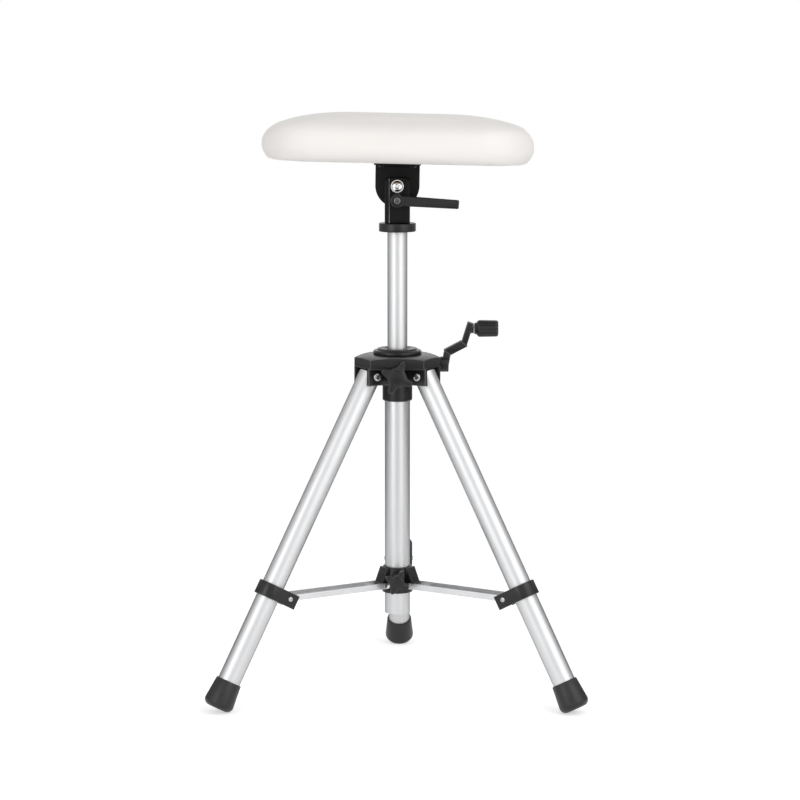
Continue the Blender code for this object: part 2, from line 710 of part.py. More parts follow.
def rack_outline():
    """Rack teeth facing +X of the outline, one of them at the pinion's height."""
    tip = RACK_PITCH_LINE + RACK_ADDENDUM
    root = RACK_PITCH_LINE - PINION_ADDENDUM - TOOTH_ROOM
    slope = math.tan(PRESSURE_ANGLE)
    at_tip = TOOTH_THICKNESS / 2.0 - (tip - RACK_PITCH_LINE) * slope
    at_root = TOOTH_THICKNESS / 2.0 + (RACK_PITCH_LINE - root) * slope
    outline = []
    for tooth in range(-RACK_TEETH_DOWN, RACK_TEETH_UP + 1):
        middle = CRANK_HEIGHT + tooth * TOOTH_PITCH
        outline.append((root, middle - at_root))
        outline.append((tip, middle - at_tip))
        outline.append((tip, middle + at_tip))
        outline.append((root, middle + at_root))
    outline.append((RACK_BACK, outline[-1][1]))
    outline.append((RACK_BACK, outline[0][1]))
    return outline


def pad_ring(inset, height, steps=7):
    """The pad's outline seen from above, drawn in by an inset."""
    corner = max(PAD_CORNER - inset, PAD_LEAST_CORNER)
    outline = rounded_box(PAD_HALF_WIDTH - inset, PAD_HALF_DEPTH - inset, corner, steps)
    return [(x, y, height) for x, y in outline]


def polar(reach, azimuth, height):
    return (reach * math.cos(azimuth), reach * math.sin(azimuth), height)


def build_shoulder(frame):
    """The casting that carries the legs, the column, the crank and the lock knob."""
    corner = (ROOF_FACET - ROOF_REACH / 2.0) / math.cos(30.0 * DEGREE)
    hexagon = []
    for azimuth in sorted(LEG_AZIMUTHS):
        for side in (-corner, corner):
            x = ROOF_REACH * math.cos(azimuth) - side * math.sin(azimuth)
            y = ROOF_REACH * math.sin(azimuth) + side * math.cos(azimuth)
            hexagon.append((x, y))
    outline = rounded(hexagon, ROOF_CORNER)
    top = ROOF_TOP + PAST
    casting = plate("shoulder_casting", outline, ROOF_BOTTOM, top, material=BLACK, parent=frame)
    slope = [(CAP_RADIUS + reach * MM, ROOF_TOP - drop * MM) for reach, drop in ROOF_SLOPE]
    low = ROOF_BOTTOM - PAST
    dome = [(0.0, low), (slope[0][0], low), *slope, (CAP_RADIUS, ROOF_TOP), (0.0, ROOF_TOP)]
    combine(casting, turned("roof_dome", dome, parent=frame), "INTERSECT")
    low = EAR_BOTTOM - CORE_DROP
    high = ROOF_BOTTOM + POCKET_OVERLAP
    join(casting, rod("core", CORE_RADIUS, low, high, parent=frame))
    sleeve = (
        (0.0, SLEEVE_BOTTOM),
        (SLEEVE_RADIUS - SLEEVE_ROUND, SLEEVE_BOTTOM),
        (SLEEVE_RADIUS - SLEEVE_CORNER, SLEEVE_BOTTOM + SLEEVE_CORNER),
        (SLEEVE_RADIUS, SLEEVE_BOTTOM + SLEEVE_ROUND),
        (SLEEVE_RADIUS, EAR_BOTTOM + SLEEVE_OVERLAP),
        (0.0, EAR_BOTTOM + SLEEVE_OVERLAP),
    )
    join(casting, turned("sleeve", sleeve, parent=frame))
    high = ROOF_BOTTOM + POCKET_OVERLAP / 2.0
    ears = (
        (BOSS_START, EAR_BOTTOM),
        (EAR_REACH - EAR_CORNER, EAR_BOTTOM),
        (EAR_REACH, EAR_BOTTOM + EAR_CORNER),
        (EAR_REACH, high),
        (BOSS_START, high),
    )
    for name, azimuth in zip(LEG_NAMES, LEG_AZIMUTHS):
        spin = (math.pi / 2.0, 0.0, azimuth)
        join(casting, plate("ears_" + name, ears, -EAR_OUTER, EAR_OUTER, parent=frame, rotation=spin))
    crank = {"parent": frame, "location": (0.0, PINION_Y, CRANK_HEIGHT), "rotation": RIGHT}
    knob = {"parent": frame, "location": (0.0, 0.0, KNOB_HEIGHT), "rotation": FRONT}
    join(casting, rod("crank_boss", CRANK_BOSS_RADIUS, BOSS_START, CRANK_BOSS_END, **crank))
    join(casting, rod("knob_boss", KNOB_BOSS_RADIUS, BOSS_START, KNOB_BOSS_END, **knob))

    top = ROOF_BOTTOM + POCKET_LIP
    for name, azimuth in zip(LEG_NAMES, LEG_AZIMUTHS):
        spin = {"parent": frame, "rotation": (0.0, 0.0, azimuth)}
        low = (POCKET_START, -EAR_INNER, EAR_BOTTOM - PAST)
        cut(casting, block("pocket_" + name, low, (EAR_REACH + PAST, EAR_INNER, top), **spin))
        low = (POCKET_START + MM, -POCKET_TOP_HALF, top - POCKET_OVERLAP)
        high = (POCKET_END, POCKET_TOP_HALF, POCKET_TOP)
        cut(casting, block("pocket_top_" + name, low, high, **spin))
        hinge = {
            "parent": frame,
            "location": polar(HINGE_REACH, azimuth, HINGE_HEIGHT),
            "rotation": (math.pi / 2.0, 0.0, azimuth),
        }
        reach = EAR_OUTER + PAST / 2.0
        hole = BOLT_RADIUS + GAP
        cut(casting, rod("hinge_hole_" + name, hole, -reach, reach, SMALL_SEGMENTS, **hinge))
    low = SLEEVE_BOTTOM - PAST
    high = CAP_TOP + PAST
    cut(
        casting,
        rod("mast_bore", MAST_RADIUS + MAST_BORE_PLAY, low, high, parent=frame),
        rod("column_socket", COLUMN_RADIUS + GAP, low - MM, COLUMN_TOP + GAP, parent=frame),
        rod("cap_socket", CAP_SPIGOT + GAP, CAP_SPIGOT_BOTTOM - GAP, high - MM, parent=frame),
    )
    half = PINION_HALF_WIDTH + PINION_ROOM_SIDE
    room = PINION_PITCH_RADIUS + PINION_ADDENDUM + PINION_ROOM
    tail = -SHAFT_TAIL - GAP
    hole = STUD_RADIUS + GAP
    end = KNOB_BOSS_END + PAST
    cut(
        casting,
        rod("pinion_room", room, -half, half, MEDIUM_SEGMENTS, **crank),
        rod("shaft_bore", SHAFT_RADIUS + GAP, tail, CRANK_BOSS_END + PAST, SMALL_SEGMENTS, **crank),
        rod("stud_bore", hole, STUD_BORE_START, end, SMALL_SEGMENTS, **knob),
    )

    bore = MAST_RADIUS + GAP
    side = [(CAP_RADIUS - inset * MM, ROOF_TOP + share * CAP_HEIGHT) for inset, share in CAP_SIDE]
    cap = [
        (bore, CAP_SPIGOT_BOTTOM),
        (CAP_SPIGOT, CAP_SPIGOT_BOTTOM),
        (CAP_SPIGOT, ROOF_TOP + GAP),
        (CAP_RADIUS, ROOF_TOP + GAP),
        *side,
        (bore, CAP_TOP),
    ]
    turned("collar_cap", cap, material=BLACK, parent=frame)


def build_column(frame):
    tube(
        "column_tube",
        COLUMN_RADIUS,
        COLUMN_BORE,
        COLUMN_BOTTOM,
        COLUMN_TOP,
        material=TUBE,
        parent=frame,
    )
    low = COLUMN_BOTTOM + COLUMN_PLUG_INSET
    high = COLUMN_BOTTOM + COLUMN_PLUG
    rod("column_plug", COLUMN_BORE - GAP, low, high, material=BLACK, parent=frame)
    seat = EAR_OUTER + GAP
    for name, azimuth, side in zip(LEG_NAMES, LEG_AZIMUTHS, LEG_HEAD_SIDES):
        place = polar(HINGE_REACH, azimuth, HINGE_HEIGHT)
        hinge = new_empty("hinge_" + name, place, (-side * math.pi / 2.0, 0.0, azimuth), frame)
        steel = {"material": STEEL, "parent": hinge}
        length = 2.0 * seat + HINGE_NUT + MM
        screw(
            "hinge_bolt_" + name,
            length,
            BOLT_RADIUS,
            BOLT_HEAD,
            BOLT_HEAD_HEIGHT,
            location=(0.0, 0.0, seat),
            **steel,
        )
        low = -seat - HINGE_NUT
        nut("hinge_nut_" + name, HINGE_NUT_ACROSS, BOLT_RADIUS + GAP, low, -seat, **steel)


def build_lock_knob(frame):
    centre = new_empty("pivot_lock_knob", (0.0, 0.0, KNOB_HEIGHT), FRONT, frame)
    seat = KNOB_BOSS_END + TURN_PLAY
    depth = seat + STUD_GRIP
    knob = star_knob(
        "lock_knob",
        KNOB_RADIUS,
        KNOB_WAIST,
        KNOB_THICKNESS,
        KNOB_STEM,
        material=BLACK,
        parent=centre,
        location=(0.0, 0.0, seat),
    )
    hole = STUD_RADIUS + GAP
    cut(knob, rod("lock_knob_hole", hole, seat - PAST, depth + GAP, SMALL_SEGMENTS, parent=centre))
    steel = {"material": STEEL, "parent": centre}
    rod("lock_stud", STUD_RADIUS, MAST_RADIUS + GAP, depth, SMALL_SEGMENTS, **steel)


def build_mast(frame):
    mast = tube(
        "mast_tube", MAST_RADIUS, MAST_BORE, MAST_BOTTOM, MAST_TOP, material=TUBE, parent=frame
    )
    half = RACK_WIDTH / 2.0
    low = (-half - GAP, RACK_BACK, RACK_BOTTOM - RACK_END_PLAY)
    high = (half + GAP, MAST_RADIUS + PAST, RACK_TOP + RACK_END_PLAY)
    cut(mast, block("rack_slot", low, high, parent=frame))
    plate("rack", rack_outline(), -half, half, material=STEEL, parent=frame, rotation=RIGHT)
    foot = (
        (0.0, MAST_BOTTOM - GAP - MAST_FOOT_HEIGHT),
        (MAST_FOOT_RADIUS, MAST_BOTTOM - GAP - MAST_FOOT_HEIGHT),
        (MAST_FOOT_RADIUS, MAST_BOTTOM - GAP),
        (MAST_BORE - GAP, MAST_BOTTOM - GAP),
        (MAST_BORE - GAP, MAST_BOTTOM + MAST_FOOT_SPIGOT),
        (0.0, MAST_BOTTOM + MAST_FOOT_SPIGOT),
    )
    turned("mast_foot", foot, material=BLACK, parent=frame)

    bore = MAST_RADIUS + GAP
    ring = (
        (bore, RING_BOTTOM),
        (RING_RADIUS - RING_EDGE, RING_BOTTOM),
        (RING_RADIUS, RING_BOTTOM + RING_EDGE),
        (RING_RADIUS, RING_TOP - RING_EDGE),
        (RING_RADIUS - RING_EDGE, RING_TOP),
        (bore, RING_TOP),
    )
    turned("head_ring", ring, material=BLACK, parent=frame)


def build_head(frame):
    """The clevis on top of the mast, and the fasteners through it."""
    x = HEAD_HALF_WIDTH
    y = HEAD_HALF_DEPTH
    base = RING_TOP + GAP
    tops = rounded(((x, base), (x, HEAD_TOP), (-x, HEAD_TOP), (-x, base)), HEAD_CORNER)
    middle = [(px, pz) for px, pz in tops if pz > HEAD_SLOT_FLOOR]
    cheeks = [(-x, base), (x, base)] + middle
    head = plate("clevis_head", cheeks, -y, y, material=BLACK, parent=frame, rotation=FRONT)
    reach = y + PAST
    slot_low = (-reach, -HEAD_SLOT, HEAD_SLOT_FLOOR)
    slot_high = (reach, HEAD_SLOT, HEAD_TOP + PAST)
    panel_low = (-HEAD_PANEL, -reach, base + HEAD_PANEL_START)
    panel_high = (HEAD_PANEL, -y + HEAD_PANEL_DEPTH, HEAD_SLOT_FLOOR + HEAD_PANEL_DEPTH)
    pivot = {"parent": frame, "location": (0.0, 0.0, TILT_HEIGHT), "rotation": FRONT}
    lever = {"parent": frame, "location": (0.0, 0.0, TILT_HEIGHT - LEVER_DROP), "rotation": FRONT}
    cut(
        head,
        rod("mast_socket", MAST_RADIUS + GAP, RING_BOTTOM, MAST_TOP + GAP, parent=frame),
        block("plate_slot", slot_low, slot_high, parent=frame),
        block("front_panel", panel_low, panel_high, parent=frame),
        rod("pivot_hole", PIVOT_RADIUS + GAP, -reach, reach, SMALL_SEGMENTS, **pivot),
        rod("lever_hole", STUD_RADIUS + GAP, -reach, reach, SMALL_SEGMENTS, **lever),
    )

    seat = y + GAP
    axis = new_empty("tilt_axis", (0.0, 0.0, TILT_HEIGHT), FRONT, frame)
    steel = {"material": STEEL, "parent": axis}
    length = 2.0 * seat + PIVOT_NUT + MM
    front = (0.0, 0.0, seat)
    screw(
        "pivot_bolt",
        length,
        PIVOT_RADIUS,
        PIVOT_HEAD,
        PIVOT_HEAD_HEIGHT,
        MEDIUM_SEGMENTS,
        location=front,
        **steel,
    )
    low = -seat - PIVOT_NUT
    nut("pivot_nut", PIVOT_NUT_ACROSS, PIVOT_RADIUS + GAP, low, -seat, **steel)
    below = (0.0, -LEVER_DROP, 0.0)
    low = -seat - LEVER_NUT
    nut("lever_nut", LEVER_NUT_ACROSS, STUD_RADIUS + GAP, low, -seat, location=below, **steel)


def build_lever(frame):
    height = TILT_HEIGHT - LEVER_DROP
    drooped = (math.pi / 2.0, LEVER_DROOP, 0.0)
    centre = new_empty("pivot_lever", (0.0, 0.0, height), drooped, frame)
    low = HEAD_HALF_DEPTH + TURN_PLAY
    high = low + LEVER_THICK
    corners = (
        (LEVER_START, -LEVER_ROOT_HALF),
        (LEVER_LENGTH, -LEVER_TIP_HALF),
        (LEVER_LENGTH, LEVER_TIP_HALF),
        (LEVER_START, LEVER_ROOT_HALF),
    )
    handle = rounded(corners, LEVER_CORNER)
    start = low + LEVER_STEP
    end = high - LEVER_EDGE
    lever = plate("tilt_lever", handle, start, end, material=BLACK, parent=centre)
    bevel(lever, LEVER_EDGE)
    hub = (
        (0.0, low),
        (LEVER_HUB, low),
        (LEVER_HUB, high - LEVER_EDGE),
        (LEVER_HUB - LEVER_EDGE, high),
        (0.0, high),
    )
    join(lever, turned("lever_hub", hub, parent=centre))
    sink = high - LEVER_SINK
    past = high + PAST
    wide = LEVER_SCREW_HEAD + LEVER_SCREW_PLAY
    cut(
        lever,
        rod("lever_bore", STUD_RADIUS + GAP, low - PAST, past, SMALL_SEGMENTS, parent=centre),
        rod("lever_sink", wide, sink, past + MM, MEDIUM_SEGMENTS, parent=centre),
    )
    seat = sink + GAP
    screw(
        "lever_stud",
        seat + HEAD_HALF_DEPTH + LEVER_NUT + MM,
        STUD_RADIUS,
        LEVER_SCREW_HEAD,
        LEVER_SCREW_HEIGHT,
        material=DARK_STEEL,
        parent=centre,
        location=(0.0, 0.0, seat),
    )


def build_bracket(centre):
    """The plate and flange under the pad. Heights here and in the pad are above the tilt axis."""
    inside = FLANGE_BOTTOM + FLANGE_THICK / 2.0
    outline = [(PLATE_RADIUS, inside), (-PLATE_RADIUS, inside)]
    outline += arc(PLATE_RADIUS, math.pi, 2.0 * math.pi, 18)
    half = PLATE_HALF
    upright = {"parent": centre, "rotation": FRONT}
    bracket = plate("tilt_bracket", outline, -half, half, material=BLACK, **upright)
    flange = rounded_box(FLANGE_HALF_WIDTH, FLANGE_HALF_DEPTH, FLANGE_CORNER)
    join(bracket, plate("flange", flange, FLANGE_BOTTOM, FLANGE_TOP, parent=centre))
    web = (
        (-half - WEB, FLANGE_BOTTOM + WEB_SINK),
        (half + WEB, FLANGE_BOTTOM + WEB_SINK),
        (half - WEB_SINK, FLANGE_BOTTOM - WEB),
        (-half + WEB_SINK, FLANGE_BOTTOM - WEB),
    )
    width = PLATE_RADIUS - WEB_SHORT
    join(bracket, plate("flange_web", web, -width, width, parent=centre, rotation=RIGHT))
    middle = -math.pi / 2.0
    outer = LEVER_DROP + STUD_RADIUS + GAP
    inner = LEVER_DROP - STUD_RADIUS - GAP
    slot = arc(outer, middle - SLOT_HALF_ANGLE, middle + SLOT_HALF_ANGLE, 9)
    slot += arc(inner, middle + SLOT_HALF_ANGLE, middle - SLOT_HALF_ANGLE, 9)
    reach = half + PAST
    cut(
        bracket,
        rod("plate_hole", PIVOT_RADIUS + GAP, -reach, reach, SMALL_SEGMENTS, **upright),
        plate("plate_arc", slot, -reach, reach, **upright),
    )
    return bracket


def build_pad(frame):
    """The tilting pad."""
    centre = new_empty("pivot_pad", (0.0, 0.0, TILT_HEIGHT), (0.0, PAD_TILT, 0.0), frame)
    bracket = build_bracket(centre)
    base = FLANGE_TOP + GAP
    top = base + BOARD_THICK
    outline = [(x, y) for x, y, _ in pad_ring(BOARD_INSET, 0.0, 4)]
    board = plate("pad_board", outline, base, top, material=BOARD, parent=centre)
    rings = [pad_ring(inset * MM, PAD_BOTTOM + height * MM) for inset, height in PAD_PROFILE]
    cushion = loft("cushion", rings, material=VINYL, parent=centre)
    outline = [(x, y) for x, y, _ in pad_ring(BOARD_INSET - GAP, 0.0, 4)]
    cut(cushion, plate("board_recess", outline, base - PAST, top + GAP, parent=centre))
    for name, side in (("left", -1), ("right", 1)):
        for end, depth in (("front", -1), ("rear", 1)):
            label = end + "_" + name
            x = side * FLANGE_SCREW_X
            y = depth * FLANGE_SCREW_Y
            screw(
                "flange_screw_" + label,
                FLANGE_SCREW_LENGTH,
                FLANGE_SCREW_RADIUS,
                FLANGE_SCREW_HEAD,
                FLANGE_SCREW_HEIGHT,
                RIVET_SEGMENTS,
                material=DARK_STEEL,
                parent=centre,
                location=(x, y, FLANGE_BOTTOM - GAP),
                rotation=(math.pi, 0.0, 0.0),
            )
            low = FLANGE_BOTTOM - MM
            bore = FLANGE_SCREW_RADIUS + GAP
            spot = {"parent": centre, "location": (x, y, 0.0)}
            hole = rod("screw_hole_" + label, bore, low, top - GAP, RIVET_SEGMENTS, **spot)
            cut(bracket, hole)
            cut(board, hole)


def build_crank(frame):
    place = (0.0, PINION_Y, CRANK_HEIGHT)
    centre = new_empty("pivot_crank", place, RIGHT, frame)
    half = PINION_HALF_WIDTH
    pinion = plate("pinion_shaft", gear_outline(), -half, half, material=STEEL, parent=centre)
    end = CRANK_HUB_END - SHAFT_SHORT
    join(pinion, rod("shaft", SHAFT_RADIUS, -SHAFT_TAIL, end, SMALL_SEGMENTS, parent=centre))

    arm_path = (
        (CRANK_HUB_END - CRANK_FOOT_INSET, -CRANK_FOOT_DROP),
        (CRANK_HUB_END - CRANK_KNEE_INSET, CRANK_KNEE_RISE),
        (CRANK_HUB_END + CRANK_ELBOW_STEP, CRANK_ELBOW_RISE),
        (CRANK_ARM_END, CRANK_RADIUS + CRANK_END_RISE),
    )
    half = CRANK_ARM_WIDTH / 2.0
    strip = ribbon(arm_path, CRANK_ARM_THICK)
    upright = {"parent": frame, "location": place, "rotation": FRONT}
    arm = plate("crank_arm", strip, -half, half, material=BLACK, **upright)
    bevel(arm, CRANK_ARM_EDGE)
    hub = (
        (0.0, CRANK_HUB_START),
        (CRANK_BOSS_RADIUS - CRANK_HUB_EDGE, CRANK_HUB_START),
        (CRANK_BOSS_RADIUS, CRANK_HUB_START + CRANK_HUB_EDGE),
        (CRANK_BOSS_RADIUS, CRANK_HUB_END - CRANK_ARM_EDGE),
        (CRANK_BOSS_RADIUS - CRANK_ARM_EDGE, CRANK_HUB_END),
        (0.0, CRANK_HUB_END),
    )
    join(arm, turned("crank_hub", hub, MEDIUM_SEGMENTS, parent=centre))
    grip_place = (0.0, PINION_Y, CRANK_HEIGHT + CRANK_RADIUS)
    spin = new_empty("pivot_crank_grip", grip_place, RIGHT, frame)
    hole = SHAFT_RADIUS + GAP
    low = CRANK_HUB_START - PAST
    end = CRANK_HUB_END - SHAFT_SHORT + GAP
    pin = GRIP_PIN_RADIUS + GAP
    cut(
        arm,
        rod("crank_hub_bore", hole, low, end, SMALL_SEGMENTS, parent=centre),
        rod("grip_pin_hole", pin, GRIP_PIN_START - GAP, GRIP_END, SMALL_SEGMENTS, parent=spin),
    )

    steel = {"material": STEEL, "parent": spin}
    rod("grip_pin", GRIP_PIN_RADIUS, GRIP_PIN_START, GRIP_PIN_END, SMALL_SEGMENTS, **steel)
    rings = []
    for at, radius, flute in (
        (GRIP_START, GRIP_NECK, 0.0),
        (GRIP_START + GRIP_NECK_LENGTH, GRIP_NECK + GRIP_TAPER, 0.0),
        (GRIP_START + GRIP_SHOULDER, GRIP_RADIUS, GRIP_FLUTE_DEPTH),
        (GRIP_END - GRIP_ROUND, GRIP_RADIUS - GRIP_TAPER, GRIP_FLUTE_DEPTH),
        (GRIP_END, GRIP_RADIUS - GRIP_ROUND, GRIP_TAPER),
    ):
        count = 3 * GRIP_FLUTES
        reaches = [radius - flute * (k % 3 == 0) for k in range(count)]
        angles = [2.0 * math.pi * k / count for k in range(count)]
        rings.append([polar(reach, angle, at) for reach, angle in zip(reaches, angles)])
    grip = loft("crank_grip", rings, material=BLACK, parent=spin)
    cut(grip, rod("grip_bore", pin, GRIP_START - MM, GRIP_PIN_END + GAP, SMALL_SEGMENTS, parent=spin))


def build_hub(frame):
    """The spreader hub, which slides on the column and carries the struts."""
    sleeve = (
        (HUB_BORE, HUB_BOTTOM),
        (HUB_FLANGE - HUB_EDGE, HUB_BOTTOM),
        (HUB_FLANGE, HUB_BOTTOM + HUB_EDGE),
        (HUB_FLANGE, HUB_BOTTOM + HUB_RIM_HEIGHT - HUB_RIM / 2.0),
        (HUB_RADIUS, HUB_BOTTOM + HUB_RIM_HEIGHT + HUB_RIM / 2.0),
        (HUB_RADIUS, HUB_TOP - HUB_RIM),
        (HUB_RADIUS - HUB_RIM, HUB_TOP),
        (HUB_BORE, HUB_TOP),
    )
    hub = turned("spreader_hub", sleeve, material=BLACK, parent=frame)
    lug = WING_LUG
    height = STRUT_PIVOT_HEIGHT
    root = HUB_BORE + WING_ROOT
    shelf = height + WING_SHELF
    top = HUB_TOP - WING_TOP_DROP
    wing = (
        (root, height - lug),
        (STRUT_PIVOT_REACH + lug - WING_LUG_CORNER, height - lug),
        (STRUT_PIVOT_REACH + lug, height - lug + WING_LUG_CORNER),
        (STRUT_PIVOT_REACH + lug, shelf),
        (WING_REACH, shelf + WING_SHELF_SLOPE),
        (WING_REACH, shelf + WING_SHELF_SLOPE + WING_TIP),
        (WING_TOP_REACH, top),
        (root, top),
    )
    hollow = (
        (WING_TOP_REACH, height + WING_HOLLOW_RISE),
        (WING_REACH - WING_HOLLOW_INSET, height + WING_HOLLOW_RISE),
        (WING_TOP_REACH, HUB_TOP - WING_HOLLOW_DROP),
    )
    half = WING_HALF_WIDTH
    for name, azimuth in zip(LEG_NAMES, LEG_AZIMUTHS):
        spin = {"parent": frame, "rotation": (math.pi / 2.0, 0.0, azimuth)}
        join(hub, plate("wing_" + name, wing, -half, half, **spin))
    knob = {"parent": frame, "location": (0.0, 0.0, HUB_KNOB_HEIGHT), "rotation": FRONT}
    join(hub, rod("hub_boss", HUB_BOSS_RADIUS, root, HUB_BOSS_END, **knob))
    near = half - WING_HOLLOW_DEPTH
    far = half + PAST
    for name, azimuth in zip(LEG_NAMES, LEG_AZIMUTHS):
        spin = {"parent": frame, "rotation": (math.pi / 2.0, 0.0, azimuth)}
        cut(hub, plate("wing_hollow_" + name + "_a", hollow, near, far, **spin))
        cut(hub, plate("wing_hollow_" + name + "_b", hollow, -far, -near, **spin))
        spin["location"] = polar(STRUT_PIVOT_REACH, azimuth, height)
        cut(hub, rod("pin_hole_" + name, PIN_RADIUS + GAP, -far, far, SMALL_SEGMENTS, **spin))
    hole = HUB_STUD_RADIUS + GAP
    end = HUB_BOSS_END + PAST
    cut(hub, rod("hub_stud_bore", hole, HUB_BORE / 2.0, end, SMALL_SEGMENTS, **knob))

    seat = STRUT_HALF_WIDTH + GAP
    end = seat + PIN_HEAD_HEIGHT
    pin = (
        (0.0, -end),
        (PIN_HEAD, -end),
        (PIN_HEAD, -seat),
        (PIN_RADIUS, -seat),
        (PIN_RADIUS, seat),
        (PIN_HEAD, seat),
        (PIN_HEAD, end),
        (0.0, end),
    )
    for name, azimuth in zip(LEG_NAMES, LEG_AZIMUTHS):
        turned(
            "strut_pin_" + name,
            pin,
            RIVET_SEGMENTS,
            material=STEEL,
            parent=frame,
            location=polar(STRUT_PIVOT_REACH, azimuth, height),
            rotation=(math.pi / 2.0, 0.0, azimuth),
        )


def build_hub_knob(frame):
    centre = new_empty("pivot_hub_knob", (0.0, 0.0, HUB_KNOB_HEIGHT), FRONT, frame)
    seat = HUB_BOSS_END + TURN_PLAY
    depth = seat + HUB_STUD_GRIP
    knob = star_knob(
        "hub_knob",
        HUB_KNOB_RADIUS,
        HUB_KNOB_WAIST,
        HUB_KNOB_THICKNESS,
        HUB_KNOB_STEM,
        material=BLACK,
        parent=centre,
        location=(0.0, 0.0, seat),
    )
    hole = HUB_STUD_RADIUS + GAP
    cut(knob, rod("hub_knob_hole", hole, seat - PAST, depth + GAP, SMALL_SEGMENTS, parent=centre))
    steel = {"material": STEEL, "parent": centre}
    rod("hub_stud", HUB_STUD_RADIUS, COLUMN_RADIUS + GAP, depth, SMALL_SEGMENTS, **steel)


def build_strut(frame, name, azimuth):
    """A channel, open at the top, from the hub to the clamp along +X of its own pivot."""
    place = polar(STRUT_PIVOT_REACH, azimuth, STRUT_PIVOT_HEIGHT)
    centre = new_empty("pivot_strut_" + name, place, (0.0, STRUT_DROOP, azimuth), frame)
    wall = (
        (-STRUT_TAIL, -STRUT_BELOW + STRUT_CORNER),
        (-STRUT_TAIL + STRUT_CORNER, -STRUT_BELOW),
        (STRUT_LENGTH - STRUT_BOTTOM_SHORT, -STRUT_BELOW),
        (STRUT_LENGTH - STRUT_TOP_SHORT, STRUT_ABOVE),
        (-STRUT_TAIL + STRUT_CORNER, STRUT_ABOVE),
        (-STRUT_TAIL, STRUT_ABOVE - STRUT_CORNER),
    )
    half = STRUT_HALF_WIDTH
    upright = {"parent": centre, "rotation": FRONT}
    strut = plate("strut_" + name, wall, -half, half, material=TUBE, **upright)
    inner = half - STRUT_SHEET
    floor = -STRUT_BELOW + STRUT_SHEET
    start = STRUT_LENGTH - STRUT_FLOOR_SHORT
    end = STRUT_LENGTH + PAST
    low = (-PAST, -inner, floor)
    cut(strut, block("channel_" + name, low, (end, inner, PAST), parent=centre))
    low = (-PAST - MM, -inner, -PAST)
    high = (STRUT_FLOOR_START, inner, PAST - MM)
    cut(strut, block("floor_near_" + name, low, high, parent=centre))
    low = (start, -inner, -PAST)
    cut(strut, block("floor_far_" + name, low, (end + MM, inner, PAST - MM), parent=centre))
    cut(strut, rod("strut_hole_" + name, PIN_RADIUS + GAP, -PAST, PAST, SMALL_SEGMENTS, **upright))


def build_leg(frame, name, azimuth):
    """A leg along -Z of its own hinge, with +X to the outside of the stand."""
    place = polar(HINGE_REACH, azimuth, HINGE_HEIGHT)
    centre = new_empty("pivot_leg_" + name, place, (0.0, -LEG_SPLAY, azimuth), frame)
    upright = {"parent": centre, "rotation": FRONT}
    own = {"parent": centre}
    leg = tube("leg_tube_" + name, LEG_RADIUS, LEG_BORE, -LEG_END, LEG_TOP, material=TUBE, **own)
    notch = BOLT_RADIUS + BOLT_PLAY
    cut(leg, rod("leg_notch_" + name, notch, -PAST, PAST, SMALL_SEGMENTS, **upright))

    plug = rod("leg_plug_" + name, LEG_BORE - GAP, -PLUG_LENGTH, PAST, material=BLACK, **own)
    low = -PLUG_LENGTH - PAST
    dome = [(-PAST, low), (PAST, low), (PAST, 0.0)]
    dome += arc(PLUG_HEAD, 0.0, math.pi, 10)
    dome.append((-PAST, 0.0))
    combine(plug, plate("plug_head_" + name, dome, -PAST, PAST, **upright), "INTERSECT")
    cut(plug, rod("plug_hole_" + name, BOLT_RADIUS + GAP, -PAST, PAST, SMALL_SEGMENTS, **upright))


def build_foot(frame, name, floor):
    """The rubber cap of a leg, trimmed flat where it meets the floor."""
    centre = bpy.data.objects["pivot_leg_" + name]
    inner = LEG_RADIUS + GAP
    profile = (
        (inner, -FOOT_TOP),
        (inner, -LEG_END - GAP),
        (0.0, -LEG_END - GAP),
        (0.0, -FOOT_BOTTOM),
        (FOOT_RADIUS - FOOT_ROUND, -FOOT_BOTTOM),
        (FOOT_RADIUS - FOOT_CORNER, -FOOT_BOTTOM + FOOT_CORNER),
        (FOOT_RADIUS, -FOOT_BOTTOM + FOOT_ROUND),
        (FOOT_TOP_RADIUS, -FOOT_TOP - FOOT_RIM),
        (FOOT_TOP_RADIUS - FOOT_RIM, -FOOT_TOP),
    )
    cap = turned("foot_" + name, profile[3:] + profile[:3], material=RUBBER, parent=centre)
    cut(cap, floor)


def build_clamp(name):
    """The strap round a leg that takes the end of a strut, with a rivet in each cheek."""
    centre = bpy.data.objects["pivot_leg_" + name]
    quarter = math.pi / 2.0
    strap = arc(CLAMP_OUTER, -quarter, quarter, 12)
    strap += [(-CLAMP_REACH, CLAMP_OUTER), (-CLAMP_REACH, CLAMP_INNER)]
    strap += arc(CLAMP_INNER, quarter, -quarter, 12)
    strap += [(-CLAMP_REACH, -CLAMP_INNER), (-CLAMP_REACH, -CLAMP_OUTER)]
    low = -CLAMP_AT - CLAMP_HALF_HEIGHT
    high = -CLAMP_AT + CLAMP_HALF_HEIGHT
    clamp = plate("clamp_" + name, strap, low, high, material=BLACK, parent=centre)
    spot = {"parent": centre, "location": (-CLAMP_PIN_OFFSET, 0.0, -CLAMP_PIN_AT)}
    past = CLAMP_OUTER + PAST
    hole = RIVET_RADIUS + GAP
    tool = rod("rivet_hole_" + name, hole, -past, past, RIVET_SEGMENTS, rotation=FRONT, **spot)
    cut(clamp, tool)
    for side, label in ((1.0, "a"), (-1.0, "b")):
        screw(
            "rivet_" + name + "_" + label,
            CLAMP_OUTER - CLAMP_INNER,
            RIVET_RADIUS,
            RIVET_HEAD,
            RIVET_HEAD_HEIGHT,
            RIVET_SEGMENTS,
            material=STEEL,
            parent=centre,
            location=(-CLAMP_PIN_OFFSET, side * (CLAMP_OUTER + GAP), -CLAMP_PIN_AT),
            rotation=(-side * math.pi / 2.0, 0.0, 0.0),
        )


